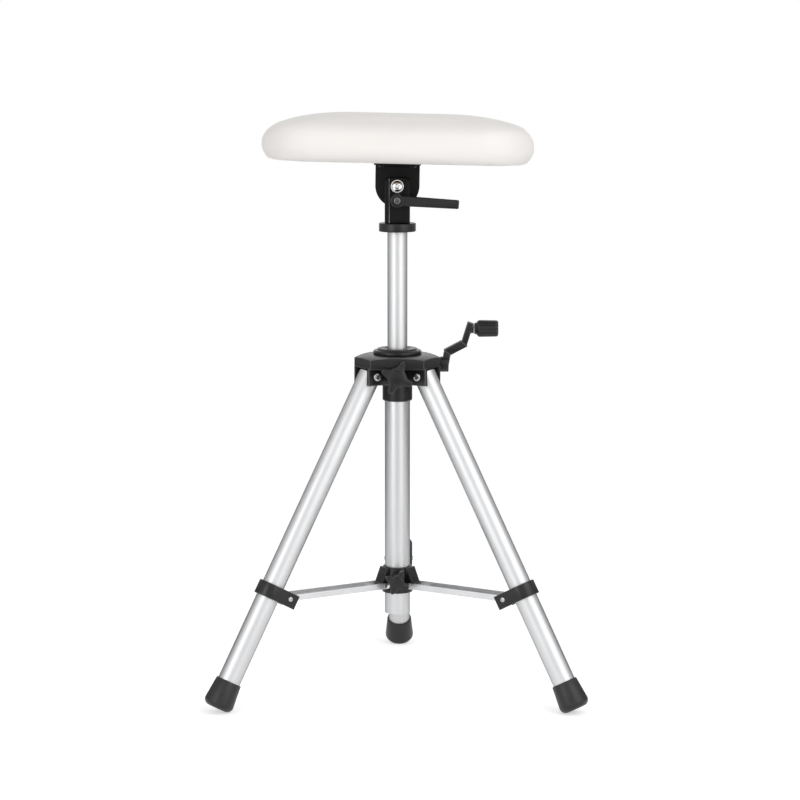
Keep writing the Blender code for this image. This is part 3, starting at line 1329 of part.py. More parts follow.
def build_footrest():
    frame = new_empty("column_frame", (0.0, COLUMN_Y, 0.0), (0.0, 0.0, 0.0), None)
    floor = block("floor_cut", (-0.4, -0.4, -0.05), (0.4, 0.4, 0.0), parent=frame)
    build_shoulder(frame)
    build_column(frame)
    build_lock_knob(frame)
    build_mast(frame)
    build_head(frame)
    build_lever(frame)
    build_pad(frame)
    build_crank(frame)
    build_hub(frame)
    build_hub_knob(frame)
    for name, azimuth in zip(LEG_NAMES, LEG_AZIMUTHS):
        build_strut(frame, name, azimuth)
        build_leg(frame, name, azimuth)
        build_foot(frame, name, floor)
        build_clamp(name)


build_footrest()
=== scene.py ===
"""Looks for the pedicure footrest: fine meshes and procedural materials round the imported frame."""

import json
import math

import bmesh
import bpy
from mathutils import Matrix, Vector, noise


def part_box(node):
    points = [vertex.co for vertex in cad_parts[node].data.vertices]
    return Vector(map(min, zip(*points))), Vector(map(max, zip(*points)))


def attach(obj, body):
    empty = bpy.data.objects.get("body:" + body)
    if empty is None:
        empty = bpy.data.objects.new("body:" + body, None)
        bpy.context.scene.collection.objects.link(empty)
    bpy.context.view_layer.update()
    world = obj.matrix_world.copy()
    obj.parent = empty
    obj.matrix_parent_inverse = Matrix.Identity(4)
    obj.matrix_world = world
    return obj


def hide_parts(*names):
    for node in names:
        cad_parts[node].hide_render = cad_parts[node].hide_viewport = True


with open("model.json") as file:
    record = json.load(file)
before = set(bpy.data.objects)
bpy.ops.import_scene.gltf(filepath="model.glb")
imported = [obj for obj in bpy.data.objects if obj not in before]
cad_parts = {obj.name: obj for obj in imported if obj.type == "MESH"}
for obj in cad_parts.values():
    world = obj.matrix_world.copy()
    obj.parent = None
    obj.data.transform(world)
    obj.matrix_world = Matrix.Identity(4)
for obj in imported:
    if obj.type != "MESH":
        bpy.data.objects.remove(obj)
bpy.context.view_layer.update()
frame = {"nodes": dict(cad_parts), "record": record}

MM = 0.001
DEGREE = math.pi / 180.0
QUARTER = math.pi / 2.0

# Camera, fitted to the photograph
CAMERA_DISTANCE = 2.9
CAMERA_HEIGHT = 0.7378
CAMERA_PITCH = 8.06 * DEGREE
CAMERA_LENS = 118.7
CAMERA_SHIFT = 0.00325
CAMERA_TURN = 0.6 * DEGREE
CAMERA_SENSOR = 36.0
CAMERA_REACH = 50.0

# Sizes of the solids. A few differ from them a little, to follow the photograph
GAP = 0.3 * MM
COLUMN_RADIUS = 14.0 * MM
COLUMN_BORE = 12.7 * MM
COLUMN_BOTTOM = 87.0 * MM
COLUMN_TOP = 346.5 * MM
MAST_RADIUS = 11.0 * MM
MAST_BORE = 9.4 * MM
MAST_BOTTOM = 206.0 * MM
MAST_TOP = 536.0 * MM
RACK_SLOT = (246.9 * MM, 465.3 * MM)
RACK_SLOT_HALF = 3.3 * MM
CRANK_HEIGHT = 365.5 * MM
CRANK_RADIUS = 40.0 * MM
CRANK_BOSS_RADIUS = 8.6 * MM
CRANK_BOSS_END = 46.8 * MM
CRANK_HUB_START = 47.3 * MM
CRANK_HUB_END = 56.9 * MM
CRANK_THICK = (8.0 * MM, 9.0 * MM, 7.0 * MM)
CRANK_ARM_WIDTH = 10.0 * MM
GRIP_START = 85.2 * MM
GRIP_END = 111.9 * MM
GRIP_RADIUS = 9.4 * MM
GRIP_NECK = 6.3 * MM
GRIP_FLUTES = 12
PINION_Y = 14.7 * MM
SHAFT_RADIUS = 3.0 * MM
STUD_RADIUS = 3.0 * MM
ROOF_REACH = 44.5 * MM
ROOF_FACET = 38.0 * MM
ROOF_BOTTOM = 365.5 * MM
ROOF_TOP = 379.3 * MM
CORE_RADIUS = 25.0 * MM
EAR_REACH = 45.5 * MM
EAR_BOTTOM = 347.3 * MM
EAR_OUTER = 16.9 * MM
EAR_INNER = 12.9 * MM
POCKET_START = 21.6 * MM
POCKET_END = 42.6 * MM
POCKET_TOP = 368.7 * MM
POCKET_TOP_HALF = 11.7 * MM
SLEEVE_RADIUS = 16.6 * MM
SLEEVE_BOTTOM = 327.0 * MM
CAP_RADIUS = 26.8 * MM
CAP_TOP = 385.5 * MM
CAP_SPIGOT = 13.7 * MM
CAP_SPIGOT_BOTTOM = 373.0 * MM
KNOB_HEIGHT = 358.7 * MM
KNOB_RADIUS = 18.8 * MM
KNOB_WAIST = 10.8 * MM
KNOB_THICKNESS = 13.0 * MM
KNOB_BOSS_RADIUS = 9.5 * MM
KNOB_BOSS_END = 39.8 * MM
KNOB_PHASE = 65.0 * DEGREE
KNOB_LOBE_POWER = 2.7
LEGS = {"left": 210.0 * DEGREE, "right": 330.0 * DEGREE, "rear": 90.0 * DEGREE}
BOLT_SIDES = {"left": 1, "right": -1, "rear": 1}
LEG_SPLAY = 28.4 * DEGREE
HINGE_REACH = 35.0 * MM
HINGE_HEIGHT = 357.0 * MM
LEG_RADIUS = 12.5 * MM
LEG_BORE = 11.2 * MM
LEG_TOP = 2.0 * MM
LEG_END = 392.05 * MM
FOOT_TOP = 368.4 * MM
FOOT_BOTTOM = 400.25 * MM
FOOT_TOP_RADIUS = 14.3 * MM
FOOT_RADIUS = 16.6 * MM
FOOT_ROUND = 7.0 * MM
BOLT_RADIUS = 2.5 * MM
BOLT_HEAD = 4.6 * MM
HINGE_NUT = 4.0 * MM
CLAMP_AT = 261.0 * MM
CLAMP_HALF_HEIGHT = 7.9 * MM
CLAMP_OUTER = 15.9 * MM
CLAMP_INNER = 12.8 * MM
CLAMP_REACH = 27.6 * MM
CLAMP_PIN_AT = 260.0 * MM
CLAMP_PIN_OFFSET = 18.4 * MM
RIVET_HEAD = 2.7 * MM
RIVET_HEIGHT = 1.1 * MM
STRUT_PIVOT_REACH = 19.5 * MM
STRUT_PIVOT_HEIGHT = 120.5 * MM
HUB_BOTTOM = 111.0 * MM
HUB_TOP = 140.2 * MM
HUB_RADIUS = 16.4 * MM
HUB_FLANGE = 17.2 * MM
HUB_BORE = 14.3 * MM
WING_REACH = 23.8 * MM
WING_TOP_REACH = 17.6 * MM
WING_HALF_WIDTH = 8.4 * MM
HUB_KNOB_HEIGHT = 126.7 * MM
HUB_KNOB_RADIUS = 14.4 * MM
HUB_KNOB_WAIST = 8.4 * MM
HUB_KNOB_THICKNESS = 10.0 * MM
HUB_BOSS_RADIUS = 7.5 * MM
HUB_BOSS_END = 23.0 * MM
TILT_HEIGHT = 565.0 * MM
RING_RADIUS = 20.4 * MM
RING_BOTTOM = 514.6 * MM
RING_TOP = 524.0 * MM
HEAD_HALF_WIDTH = 13.8 * MM
HEAD_HALF_DEPTH = 14.0 * MM
HEAD_TOP = 573.6 * MM
HEAD_SLOT = 2.8 * MM
HEAD_SLOT_FLOOR = 539.5 * MM
HEAD_PANEL = 8.8 * MM
PLATE_HALF = 2.5 * MM
PLATE_RADIUS = 24.3 * MM
PIVOT_RADIUS = 4.0 * MM
PIVOT_HEAD = 7.1 * MM
PIVOT_NUT = 6.5 * MM
LEVER_DROP = 15.3 * MM
LEVER_HUB = 7.6 * MM
LEVER_LENGTH = 67.5 * MM
LEVER_DROOP = 3.7 * DEGREE
LEVER_THICK = 10.5 * MM
LEVER_ROOT_HALF = 5.7 * MM
LEVER_TIP_HALF = 4.8 * MM
LEVER_SCREW_HEAD = 4.5 * MM
LEVER_NUT = 5.0 * MM
SLOT_HALF_ANGLE = 45.0 * DEGREE
FLANGE_HALF_WIDTH = 25.7 * MM
FLANGE_HALF_DEPTH = 34.0 * MM
FLANGE_BOTTOM = 23.7 * MM
FLANGE_THICK = 4.2 * MM
WEB = 3.5 * MM
PAD_TILT = 0.9 * DEGREE
PAD_HALF_WIDTH = 148.2 * MM
PAD_HALF_DEPTH = 90.0 * MM
PAD_CORNER = 62.0 * MM
PAD_BOTTOM = 28.5 * MM
BOARD_INSET = 24.0 * MM
BOARD_THICK = 8.0 * MM
PAD_CORNER_LEAST = 8.0 * MM
# Rings of the foam in mm: inset of the ends, inset of the long sides, height over the bottom
PAD_RINGS = (
    (18.0, 14.0, 0.0),
    (11.0, 8.0, 0.8),
    (5.5, 3.6, 3.6),
    (1.8, 1.0, 8.8),
    (0.0, 0.0, 17.0),
    (1.2, 0.4, 23.6),
    (4.0, 1.4, 29.2),
    (8.6, 3.2, 33.8),
    (15.5, 6.2, 38.0),
    (26.0, 10.5, 41.8),
    (42.0, 17.5, 45.0),
    (60.0, 28.0, 47.4),
    (76.0, 44.0, 49.4),
)
PAD_CROWN = PAD_RINGS[-1][2]

# Fits and small forms. FIT, SEAT and FREE are clearances, and PAST is how far a cut runs past a surface.
# The pairs are in mm: how far in and down for FOOT_RIM, radius and drop for ROOF_SLOPE
FIT = 0.2 * MM
SEAT = 0.1 * MM
FREE = 0.5 * MM
PAST = 20.0 * MM
RACK_SLOT_NEAR = 5.0 * MM
PLUG_SINK = 0.5 * MM
PLUG_TOP = 8.0 * MM
NOTCH_ROOM = 0.6 * MM
FOOT_RIM = ((0.0, 0.9), (0.3, 0.25), (0.8, 0.0))
RIVET_SHANK = 1.5 * MM
RIVET_DIMPLE = 0.9 * MM
RIVET_DIMPLE_FLOOR = 0.4 * MM
BOLT_HEAD_HEIGHT = 2.8 * MM
BOLT_CROSS = 1.25
HINGE_NUT_ACROSS = 8.0 * MM
ROOF_SLOPE = ((60.0, 8.3), (50.0, 4.0), (43.0, 2.1), (37.0, 0.9))
CASTING_INSIDE = 12.0 * MM
SLEEVE_LAP = 4.0 * MM
EAR_LAP = 1.5 * MM
CORE_DROP = 2.0 * MM
CORE_LAP = 3.0 * MM
PINION_ROOM = 5.6 * MM
PINION_ROOM_HALF = 3.6 * MM
SHAFT_BORE_START = -8.8 * MM
STUD_BORE_START = 3.0 * MM
PIVOT_HEAD_HEIGHT = 4.4 * MM
PIVOT_WASHER = 1.0 * MM
PIVOT_NUT_ACROSS = 13.0 * MM
LEVER_ROOT = 2.0 * MM
LEVER_SINK = 2.6 * MM
LEVER_SCREW_HEIGHT = 2.2 * MM
LEVER_NUT_ACROSS = 10.0 * MM
CRANK_LAP = 0.3 * MM
BUSH_RADIUS = 5.4 * MM
BUSH_START = 79.0 * MM
HUB_FLANGE_HEIGHT = 4.4 * MM
HUB_STUD_BORE = 2.8 * MM
HUB_INSIDE = 8.0 * MM
STRUT_LUG = 3.4 * MM
STRUT_PIN = 2.0 * MM
# Opposite corners of the ground, in metres, that cuts the soles flat
GROUND = ((-0.5, -0.5, -0.1), (0.5, 0.5, 0.0))
# Shares of a screw's head and of its cross recess, and the turn of the recess in radians
HEAD_INNER = 0.86
HEAD_SKIRT = 0.3
HEAD_DOME_POWER = 0.8
RECESS_DEPTH = 0.75
RECESS_WIDE = 0.62
RECESS_THIN = 0.13
RECESS_TAPER = 0.45
RECESS_TURN = 0.3
# How wide the painted highlight runs at each side of a rib's edge, and its grey
RIB_GLINT_WIDTH = 0.6 * MM
GLINT_GREY = (0.3, 0.3, 0.3)
WHITE = (1.0, 1.0, 1.0)

# Cover of the cushion. An end's two shares fill it out below and above its widest line
CLOTH_START = 2.0 * MM
CLOTH_VOXEL = 5.0 * MM
CLOTH_PRESSURE = 4.0
CLOTH_STIFFNESS = 40.0
CLOTH_BENDING = 2.0
CLOTH_QUALITY = 6
CLOTH_FRAMES = 20
CLOTH_CAP = 4.0 * MM
CLOTH_HELD = 1.5 * MM
FOAM_HOLD = 0.75
COVER_SMOOTH = 8
LEFT_END = (0.35, 0.22)
RIGHT_END = (0.35, 0.55)
PAD_WIDEST = 17.0 * MM
COVER_SHOULDER = 18.0 * MM
COVER_KEPT = 32.0 * MM
COVER_LEAN = math.tan(0.42 * DEGREE)
SKIRT_DROP = 1.4 * MM
SKIRT_HEIGHT = 9.0 * MM
WRINKLE = 0.5 * MM
WRINKLE_START = 90.0 * MM
WRINKLE_SPAN = 50.0 * MM
WRINKLE_WAVES = (60.0, 25.0, 60.0)

# Light. A softbox has its name, azimuth, height, size and radiance
WORLD_SIDE = 0.72
WORLD_TOP = 0.44
FLOOR_LIFT = 0.48
FLOOR_HALF = 12.0
FLOOR_DROP = 0.2 * MM
LAMP_DISTANCE = 2.5
LAMP_AIM = 0.4
SOFTBOXES = (
    ("key", -40.0 * DEGREE, 0.95, (1.1, 1.9), 2.2),
    ("fill", 42.0 * DEGREE, 1.2, (1.8, 2.4), 1.25),
    ("top", 50.0 * DEGREE, 2.6, (2.4, 1.6), 1.2),
)
CARD_FADE = (0.1, 0.45)
CARD_LOW = (0.08, 0.08, 0.08)
CARD_HIGH = (0.75, 0.75, 0.75)
SIDE_CARD_AZIMUTH = 120.0 * DEGREE
SIDE_CARD_DISTANCE = 1.0
SIDE_CARD_WIDTH = 1.3
SIDE_CARD_HEIGHT = 1.4
FRONT_CARD_NEAR = 0.9
FRONT_CARD_FAR = 3.3
FRONT_CARD_WIDTH = 0.9

# Fineness of the meshes
ROUND = 96
SMALL = 48
ARC_STEPS = 40
STAR_POINTS = 128
BEVEL_STEPS = 3
NEARLY_STRAIGHT = 1.5
CORNER_SHARE = 0.45
SHARP = 32.0 * DEGREE

# Frames of the moving groups
low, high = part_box("column_tube")
COLUMN = Matrix.Translation(((low.x + high.x) / 2.0, (low.y + high.y) / 2.0, 0.0))
FRONT = Matrix.Rotation(QUARTER, 4, "X")
RIGHT = Matrix.Rotation(QUARTER, 4, "Z") @ FRONT


def raised(height):
    return Matrix.Translation((0.0, 0.0, height))


def lifted(height):
    return COLUMN @ raised(height)


def turned_to(azimuth):
    return COLUMN @ Matrix.Rotation(azimuth, 4, "Z")


def hinge_frame(azimuth):
    return turned_to(azimuth) @ Matrix.Translation((HINGE_REACH, 0.0, HINGE_HEIGHT))


def leg_frame(azimuth):
    return hinge_frame(azimuth) @ Matrix.Rotation(-LEG_SPLAY, 4, "Y")


KNOB_FRAME = lifted(KNOB_HEIGHT) @ FRONT
HUB_KNOB_FRAME = lifted(HUB_KNOB_HEIGHT) @ FRONT
CRANK_AXIS = lifted(CRANK_HEIGHT) @ Matrix.Translation((0.0, PINION_Y, 0.0))
CRANK_FRAME = CRANK_AXIS @ RIGHT
GRIP_FRAME = raised(CRANK_RADIUS) @ CRANK_FRAME
TILT_FRAME = lifted(TILT_HEIGHT) @ FRONT
LEVER_AXIS = lifted(TILT_HEIGHT - LEVER_DROP)
LEVER_FRAME = LEVER_AXIS @ Matrix.Rotation(LEVER_DROOP, 4, "Y") @ FRONT
PAD_FRAME = lifted(TILT_HEIGHT) @ Matrix.Rotation(PAD_TILT, 4, "Y")

BODIES = frame["record"]["behaviour"]["bodies"]
BODY_OF = {node: body for body, nodes in BODIES.items() for node in nodes}
SLOT_OF = {row["node"]: row["material_slot"] for row in frame["record"]["subparts"]}


def new_material(name, color, metallic, roughness):
    """A material with its shader and, for the nodes to come, its tree."""
    material = bpy.data.materials.new(name)
    material.use_nodes = True
    shader = material.node_tree.nodes["Principled BSDF"]
    shader.inputs["Base Color"].default_value = (*color, 1.0)
    shader.inputs["Metallic"].default_value = metallic
    shader.inputs["Roughness"].default_value = roughness
    return material, material.node_tree, shader


def noise_node(tree, scale, detail=4.0, stretch=(1.0, 1.0, 1.0)):
    """Noise in the piece's own coordinates. Scale counts waves in a metre."""
    coordinates = tree.nodes.new("ShaderNodeTexCoord")
    mapping = tree.nodes.new("ShaderNodeMapping")
    mapping.inputs["Scale"].default_value = stretch
    texture = tree.nodes.new("ShaderNodeTexNoise")
    texture.inputs["Scale"].default_value = scale
    texture.inputs["Detail"].default_value = detail
    tree.links.new(coordinates.outputs["Object"], mapping.inputs["Vector"])
    tree.links.new(mapping.outputs["Vector"], texture.inputs["Vector"])
    return texture.outputs["Fac"]


def ranged(tree, source, low_value, high_value, first=0.3, last=0.7):
    """Map a value to a range. Noise has most of its values between the two defaults."""
    node = tree.nodes.new("ShaderNodeMapRange")
    node.inputs["From Min"].default_value = first
    node.inputs["From Max"].default_value = last
    node.inputs["To Min"].default_value = low_value
    node.inputs["To Max"].default_value = high_value
    tree.links.new(source, node.inputs["Value"])
    return node.outputs["Result"]


def tinted(tree, factor, first, second):
    node = tree.nodes.new("ShaderNodeMix")
    node.data_type = "RGBA"
    node.inputs["A"].default_value = (*first, 1.0)
    node.inputs["B"].default_value = (*second, 1.0)
    tree.links.new(factor, node.inputs["Factor"])
    return node.outputs["Result"]


def bumped(tree, shader, height, distance, strength, before=None):
    node = tree.nodes.new("ShaderNodeBump")
    node.inputs["Distance"].default_value = distance
    node.inputs["Strength"].default_value = strength
    tree.links.new(height, node.inputs["Height"])
    if before is not None:
        tree.links.new(before.outputs["Normal"], node.inputs["Normal"])
    tree.links.new(node.outputs["Normal"], shader.inputs["Normal"])


def math_node(tree, operation, *values):
    """Work on sockets and plain numbers."""
    node = tree.nodes.new("ShaderNodeMath")
    node.operation = operation
    for socket, value in zip(node.inputs, values):
        if isinstance(value, float):
            socket.default_value = value
        else:
            tree.links.new(value, socket)
    return node.outputs["Value"]


def axis_of(tree, kind, output, axis):
    """One coordinate of the place or direction that a node gives."""
    split = tree.nodes.new("ShaderNodeSeparateXYZ")
    tree.links.new(tree.nodes.new(kind).outputs[output], split.inputs["Vector"])
    return split.outputs[axis]


def coated(name, base, cloud, shades, rough, grain=None, bump=None, level=0.5, tint=WHITE, by_grain=False):
    """A material of cloudy colour and roughness. Its grain, or else its cloud, makes its relief."""
    material, tree, shader = new_material(name, *base)
    shader.inputs["Specular IOR Level"].default_value = level
    shader.inputs["Specular Tint"].default_value = (*tint, 1.0)
    clouds = noise_node(tree, *cloud)
    grains = noise_node(tree, *grain) if grain else clouds
    dulling = ranged(tree, grains if by_grain else clouds, *rough)
    tree.links.new(tinted(tree, clouds, *shades), shader.inputs["Base Color"])
    tree.links.new(dulling, shader.inputs["Roughness"])
    if bump:
        bumped(tree, shader, grains, *bump)
    return material


# Looks. Base is colour, metallic and roughness. Cloud and grain are scale, detail and stretch of a noise.
# Bump is depth and strength. Level and tint are those of the specular light
LOOKS = {
    # Satin anodised tube with faint draw lines along it
    "satin_aluminium": dict(
        base=((0.62, 0.625, 0.63), 1.0, 0.4), tint=(0.2, 0.2, 0.21),
        cloud=(22.0,), shades=((0.58, 0.583, 0.59), (0.63, 0.635, 0.64)),
        rough=(0.41, 0.49), grain=(1.0, 3.0, (1500.0, 1500.0, 14.0)), bump=(0.00001, 0.5), by_grain=True,
    ),
    # Rolled channel of the struts
    "strut_aluminium": dict(
        base=((0.6, 0.605, 0.61), 1.0, 0.4), tint=(0.4, 0.4, 0.41),
        cloud=(60.0,), shades=((0.55, 0.555, 0.56), (0.65, 0.65, 0.66)),
        rough=(0.34, 0.46), grain=(900.0,), bump=(0.00001, 0.5), by_grain=True,
    ),
    # Moulded plastic with a fine spark-eroded grain
    "black_plastic": dict(
        base=((0.011, 0.011, 0.012), 0.0, 0.31), level=0.36,
        cloud=(35.0,), shades=((0.008, 0.008, 0.009), (0.014, 0.014, 0.015)),
        rough=(0.26, 0.36), grain=(2600.0, 2.0), bump=(0.00004, 0.4),
    ),
    # The same plastic made paler, for a painted highlight on bevelled edges
    "edge_highlight_plastic": dict(
        base=((0.08, 0.08, 0.08), 0.0, 0.45),
        cloud=(300.0, 3.0), shades=((0.03, 0.03, 0.031), (0.15, 0.15, 0.15)),
        rough=(0.38, 0.52), bump=(0.00003, 0.4),
    ),
    # Paint of the bracket, the clevis and the dark fittings, with some orange peel
    "black_paint": dict(
        base=((0.006, 0.0062, 0.006), 0.0, 0.4), level=0.14,
        cloud=(40.0,), shades=((0.004, 0.0042, 0.004), (0.009, 0.0092, 0.009)),
        rough=(0.34, 0.46), grain=(900.0, 2.0), bump=(0.00004, 0.4),
    ),
    # Matt rubber of the feet
    "black_rubber": dict(
        base=((0.014, 0.014, 0.014), 0.0, 0.42), level=0.4,
        cloud=(60.0,), shades=((0.01, 0.01, 0.011), (0.019, 0.019, 0.019)),
        rough=(0.36, 0.48), grain=(1500.0, 3.0), bump=(0.00006, 0.5),
    ),
    # Bright plated fasteners
    "bright_steel": dict(
        base=((0.78, 0.78, 0.78), 1.0, 0.16), tint=(0.3, 0.3, 0.3),
        cloud=(300.0,), shades=((0.72, 0.72, 0.73), (0.84, 0.84, 0.84)),
        rough=(0.1, 0.24),
    ),
    # Zinc-grey hinge screws and rivets
    "dull_steel": dict(
        base=((0.42, 0.42, 0.42), 1.0, 0.3),
        cloud=(500.0,), shades=((0.36, 0.36, 0.37), (0.5, 0.5, 0.5)),
        rough=(0.24, 0.38),
    ),
    # Blackened screws
    "blackened_steel": dict(
        base=((0.13, 0.13, 0.135), 0.6, 0.35),
        cloud=(400.0,), shades=((0.1, 0.1, 0.104), (0.17, 0.17, 0.175)),
        rough=(0.28, 0.42), bump=(0.00003, 0.4),
    ),
    # White upholstery vinyl, softly creased
    "white_vinyl": dict(
        base=((0.86, 0.845, 0.82), 0.0, 0.48),
        cloud=(9.0,), shades=((0.865, 0.836, 0.808), (0.893, 0.866, 0.844)),
        rough=(0.42, 0.56), grain=(45.0, 5.0), bump=(0.0004, 0.35), by_grain=True,
    ),
    # Raw plywood of the board under the pad
    "plywood": dict(
        base=((0.52, 0.38, 0.23), 0.0, 0.65),
        cloud=(1.0, 5.0, (9.0, 260.0, 260.0)), shades=((0.4, 0.27, 0.15), (0.62, 0.47, 0.3)),
        rough=(0.55, 0.75), bump=(0.0001, 0.6),
    ),
}


def add_leather_grain(material):
    """Fine cells over the relief that the vinyl has."""
    tree = material.node_tree
    shader = tree.nodes["Principled BSDF"]
    soft = shader.inputs["Normal"].links[0].from_node
    coordinates = tree.nodes.new("ShaderNodeTexCoord")
    cells = tree.nodes.new("ShaderNodeTexVoronoi")
    cells.feature = "DISTANCE_TO_EDGE"
    cells.inputs["Scale"].default_value = 900.0
    tree.links.new(coordinates.outputs["Object"], cells.inputs["Vector"])
    bumped(tree, shader, cells.outputs["Distance"], 0.00012, 0.5, soft)


def paint_rib_glint(material):
    """Paint a grey highlight along the edge of a rib on the clevis, broken into patches by a noise."""
    tree = material.node_tree
    base = tree.nodes["Principled BSDF"].inputs["Base Color"]
    shade = base.links[0].from_socket
    across = math_node(tree, "ADD", axis_of(tree, "ShaderNodeTexCoord", "Object", "X"), HEAD_PANEL)
    off_rib = math_node(tree, "ABSOLUTE", across)
    # A painted highlight: paler grey near the rib's edge
    painted_glint = ranged(tree, off_rib, 0.0, 1.0, RIB_GLINT_WIDTH, 0.4 * RIB_GLINT_WIDTH)
    glint_patches = ranged(tree, noise_node(tree, 260.0, 3.0), 0.35, 1.0)
    glint_mix = tinted(tree, math_node(tree, "MULTIPLY", painted_glint, glint_patches), GLINT_GREY, GLINT_GREY)
    tree.links.new(shade, glint_mix.node.inputs["A"])
    tree.links.new(glint_mix, base)


MATERIALS = {name: coated(name, **look) for name, look in LOOKS.items()}
add_leather_grain(MATERIALS["white_vinyl"])
BLACK_PAINT = MATERIALS["black_paint"]
DULL_STEEL = MATERIALS["dull_steel"]
# The clevis's paint, with a painted highlight along a rib's edge
GLINT_PAINT = coated("rib_glint_paint", **LOOKS["black_paint"])
paint_rib_glint(GLINT_PAINT)


def put_in_scene(name, data):
    obj = bpy.data.objects.new(name, data)
    bpy.context.scene.collection.objects.link(obj)
    return obj


def new_object(name, form, matrix):
    bmesh.ops.recalc_face_normals(form, faces=form.faces[:])
    mesh = bpy.data.meshes.new(name)
    form.to_mesh(mesh)
    form.free()
    obj = put_in_scene(name, mesh)
    obj.matrix_world = matrix
    return obj


def bake_modifiers(obj):
    """Replace the mesh by the one that the modifiers make."""
    bpy.context.view_layer.update()
    graph = bpy.context.evaluated_depsgraph_get()
    mesh = bpy.data.meshes.new_from_object(obj.evaluated_get(graph))
    obj.modifiers.clear()
    old = obj.data
    obj.data = mesh
    bpy.data.meshes.remove(old)


def combine(obj, operation, *tools):
    for tool in tools:
        modifier = obj.modifiers.new(operation, "BOOLEAN")
        modifier.operation = operation
        modifier.solver = "EXACT"
        modifier.object = tool
    bake_modifiers(obj)
    for tool in tools:
        bpy.data.objects.remove(tool, do_unlink=True)


def carve(obj, *tools):
    combine(obj, "DIFFERENCE", *tools)


def join(obj, *forms):
    combine(obj, "UNION", *forms)


def bevel(obj, width, painted_glint=False):
    """Round the sharp edges. If asked, the bevel faces take a paler plastic as a painted highlight."""
    modifier = obj.modifiers.new("edges", "BEVEL")
    # The bevel faces get the paler plastic: a painted highlight along the edges
    if painted_glint:
        obj.data.materials.append(MATERIALS["black_plastic"])
        obj.data.materials.append(MATERIALS["edge_highlight_plastic"])
        modifier.material = 1
    modifier.width = width
    modifier.segments = BEVEL_STEPS
    modifier.limit_method = "ANGLE"
    modifier.angle_limit = SHARP
    bake_modifiers(obj)


def fillet(points, radius, closed=True, steps=4):
    """Round the corners of an outline. The ends of an open one stay."""
    outline = []
    for k, (x, y) in enumerate(points):
        corner = Vector((x, y))
        back = Vector(points[k - 1]) - corner
        ahead = Vector(points[(k + 1) % len(points)]) - corner
        half = back.angle(ahead) / 2.0
        kept = not closed and k in (0, len(points) - 1)
        if kept or half > NEARLY_STRAIGHT:
            outline.append((x, y))
            continue
        reach = min(radius / math.tan(half), CORNER_SHARE * min(back.length, ahead.length))
        first = corner + back.normalized() * reach
        last = corner + ahead.normalized() * reach
        for step in range(steps + 1):
            t = step / steps
            point = first * (1.0 - t) ** 2 + corner * (2.0 * t * (1.0 - t)) + last * t**2
            outline.append((point.x, point.y))
    return outline


def lathe(name, profile, matrix, edge, segments=ROUND):
    """Turn (radius, height) points round Z, with rounded corners. A profile off the axis is a ring."""
    ring = profile[0][0] > 0.0
    points = fillet(profile, edge, ring) if edge else list(profile)
    form = bmesh.new()
    verts = [form.verts.new((radius, 0.0, height)) for radius, height in points]
    edges = [form.edges.new(pair) for pair in zip(verts, verts[1:])]
    if ring:
        edges.append(form.edges.new((verts[-1], verts[0])))
    whole = {"cent": (0.0, 0.0, 0.0), "axis": (0.0, 0.0, 1.0), "angle": 2.0 * math.pi}
    bmesh.ops.spin(form, geom=verts + edges, steps=segments, use_merge=True, **whole)
    bmesh.ops.remove_doubles(form, verts=form.verts[:], dist=0.000001)
    return new_object(name, form, matrix)


def rod(name, radius, start, end, matrix, segments=SMALL, edge=0.0):
    profile = ((0.0, start), (radius, start), (radius, end), (0.0, end))
    return lathe(name, profile, matrix, edge, segments)


def tube(name, outer, inner, start, end, matrix, edge=0.3 * MM):
    profile = ((inner, start), (outer, start), (outer, end), (inner, end))
    return lathe(name, profile, matrix, edge)


def slab(name, outline, start, end, matrix, edge=0.0, painted_glint=False):
    """An extruded outline, with its rims rounded."""
    form = bmesh.new()
    face = form.faces.new([form.verts.new((x, y, start)) for x, y in outline])
    grown = bmesh.ops.extrude_face_region(form, geom=[face], use_keep_orig=True)
    top = [item for item in grown["geom"] if isinstance(item, bmesh.types.BMVert)]
    bmesh.ops.translate(form, verts=top, vec=(0.0, 0.0, end - start))
    obj = new_object(name, form, matrix)
    if edge:
        bevel(obj, edge, painted_glint)
    return obj


def block(name, corner, opposite, matrix):
    (x0, y0, z0), (x1, y1, z1) = corner, opposite
    return slab(name, ((x0, y0), (x1, y0), (x1, y1), (x0, y1)), z0, z1, matrix)


def loft(name, rings, matrix):
    """A closed skin over rings of equally many points."""
    form = bmesh.new()
    skins = [[form.verts.new(point) for point in ring] for ring in rings]
    form.faces.new(skins[0][::-1])
    form.faces.new(skins[-1])
    for below, above in zip(skins, skins[1:]):
        for k in range(len(below)):
            j = (k + 1) % len(below)
            form.faces.new((below[k], below[j], above[j], above[k]))
    return new_object(name, form, matrix)


def polar(radius, angle):
    return radius * math.cos(angle), radius * math.sin(angle)


def arc(radius, start, end, steps):
    return [polar(radius, start + (end - start) * k / steps) for k in range(steps + 1)]


def rounded_box(x, y, radius, steps=8):
    """A rectangle with round corners, counter-clockwise."""
    outline = []
    for cx, cy, start in (
        (x - radius, radius - y, -QUARTER),
        (x - radius, y - radius, 0.0),
        (radius - x, y - radius, QUARTER),
        (radius - x, radius - y, math.pi),
    ):
        outline += [(cx + px, cy + py) for px, py in arc(radius, start, start + QUARTER, steps)]
    return outline


def finish_piece(obj, *nodes, material=None):
    """Give a piece its material, smooth shading and body, and let it stand for its nodes."""
    mesh = obj.data
    mesh.shade_smooth()
    mesh.set_sharp_from_angle(angle=SHARP)
    material = material or MATERIALS[SLOT_OF[nodes[0]]]
    if mesh.materials:
        mesh.materials[0] = material
    else:
        mesh.materials.append(material)
    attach(obj, BODY_OF[nodes[0]])
    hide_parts(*nodes)


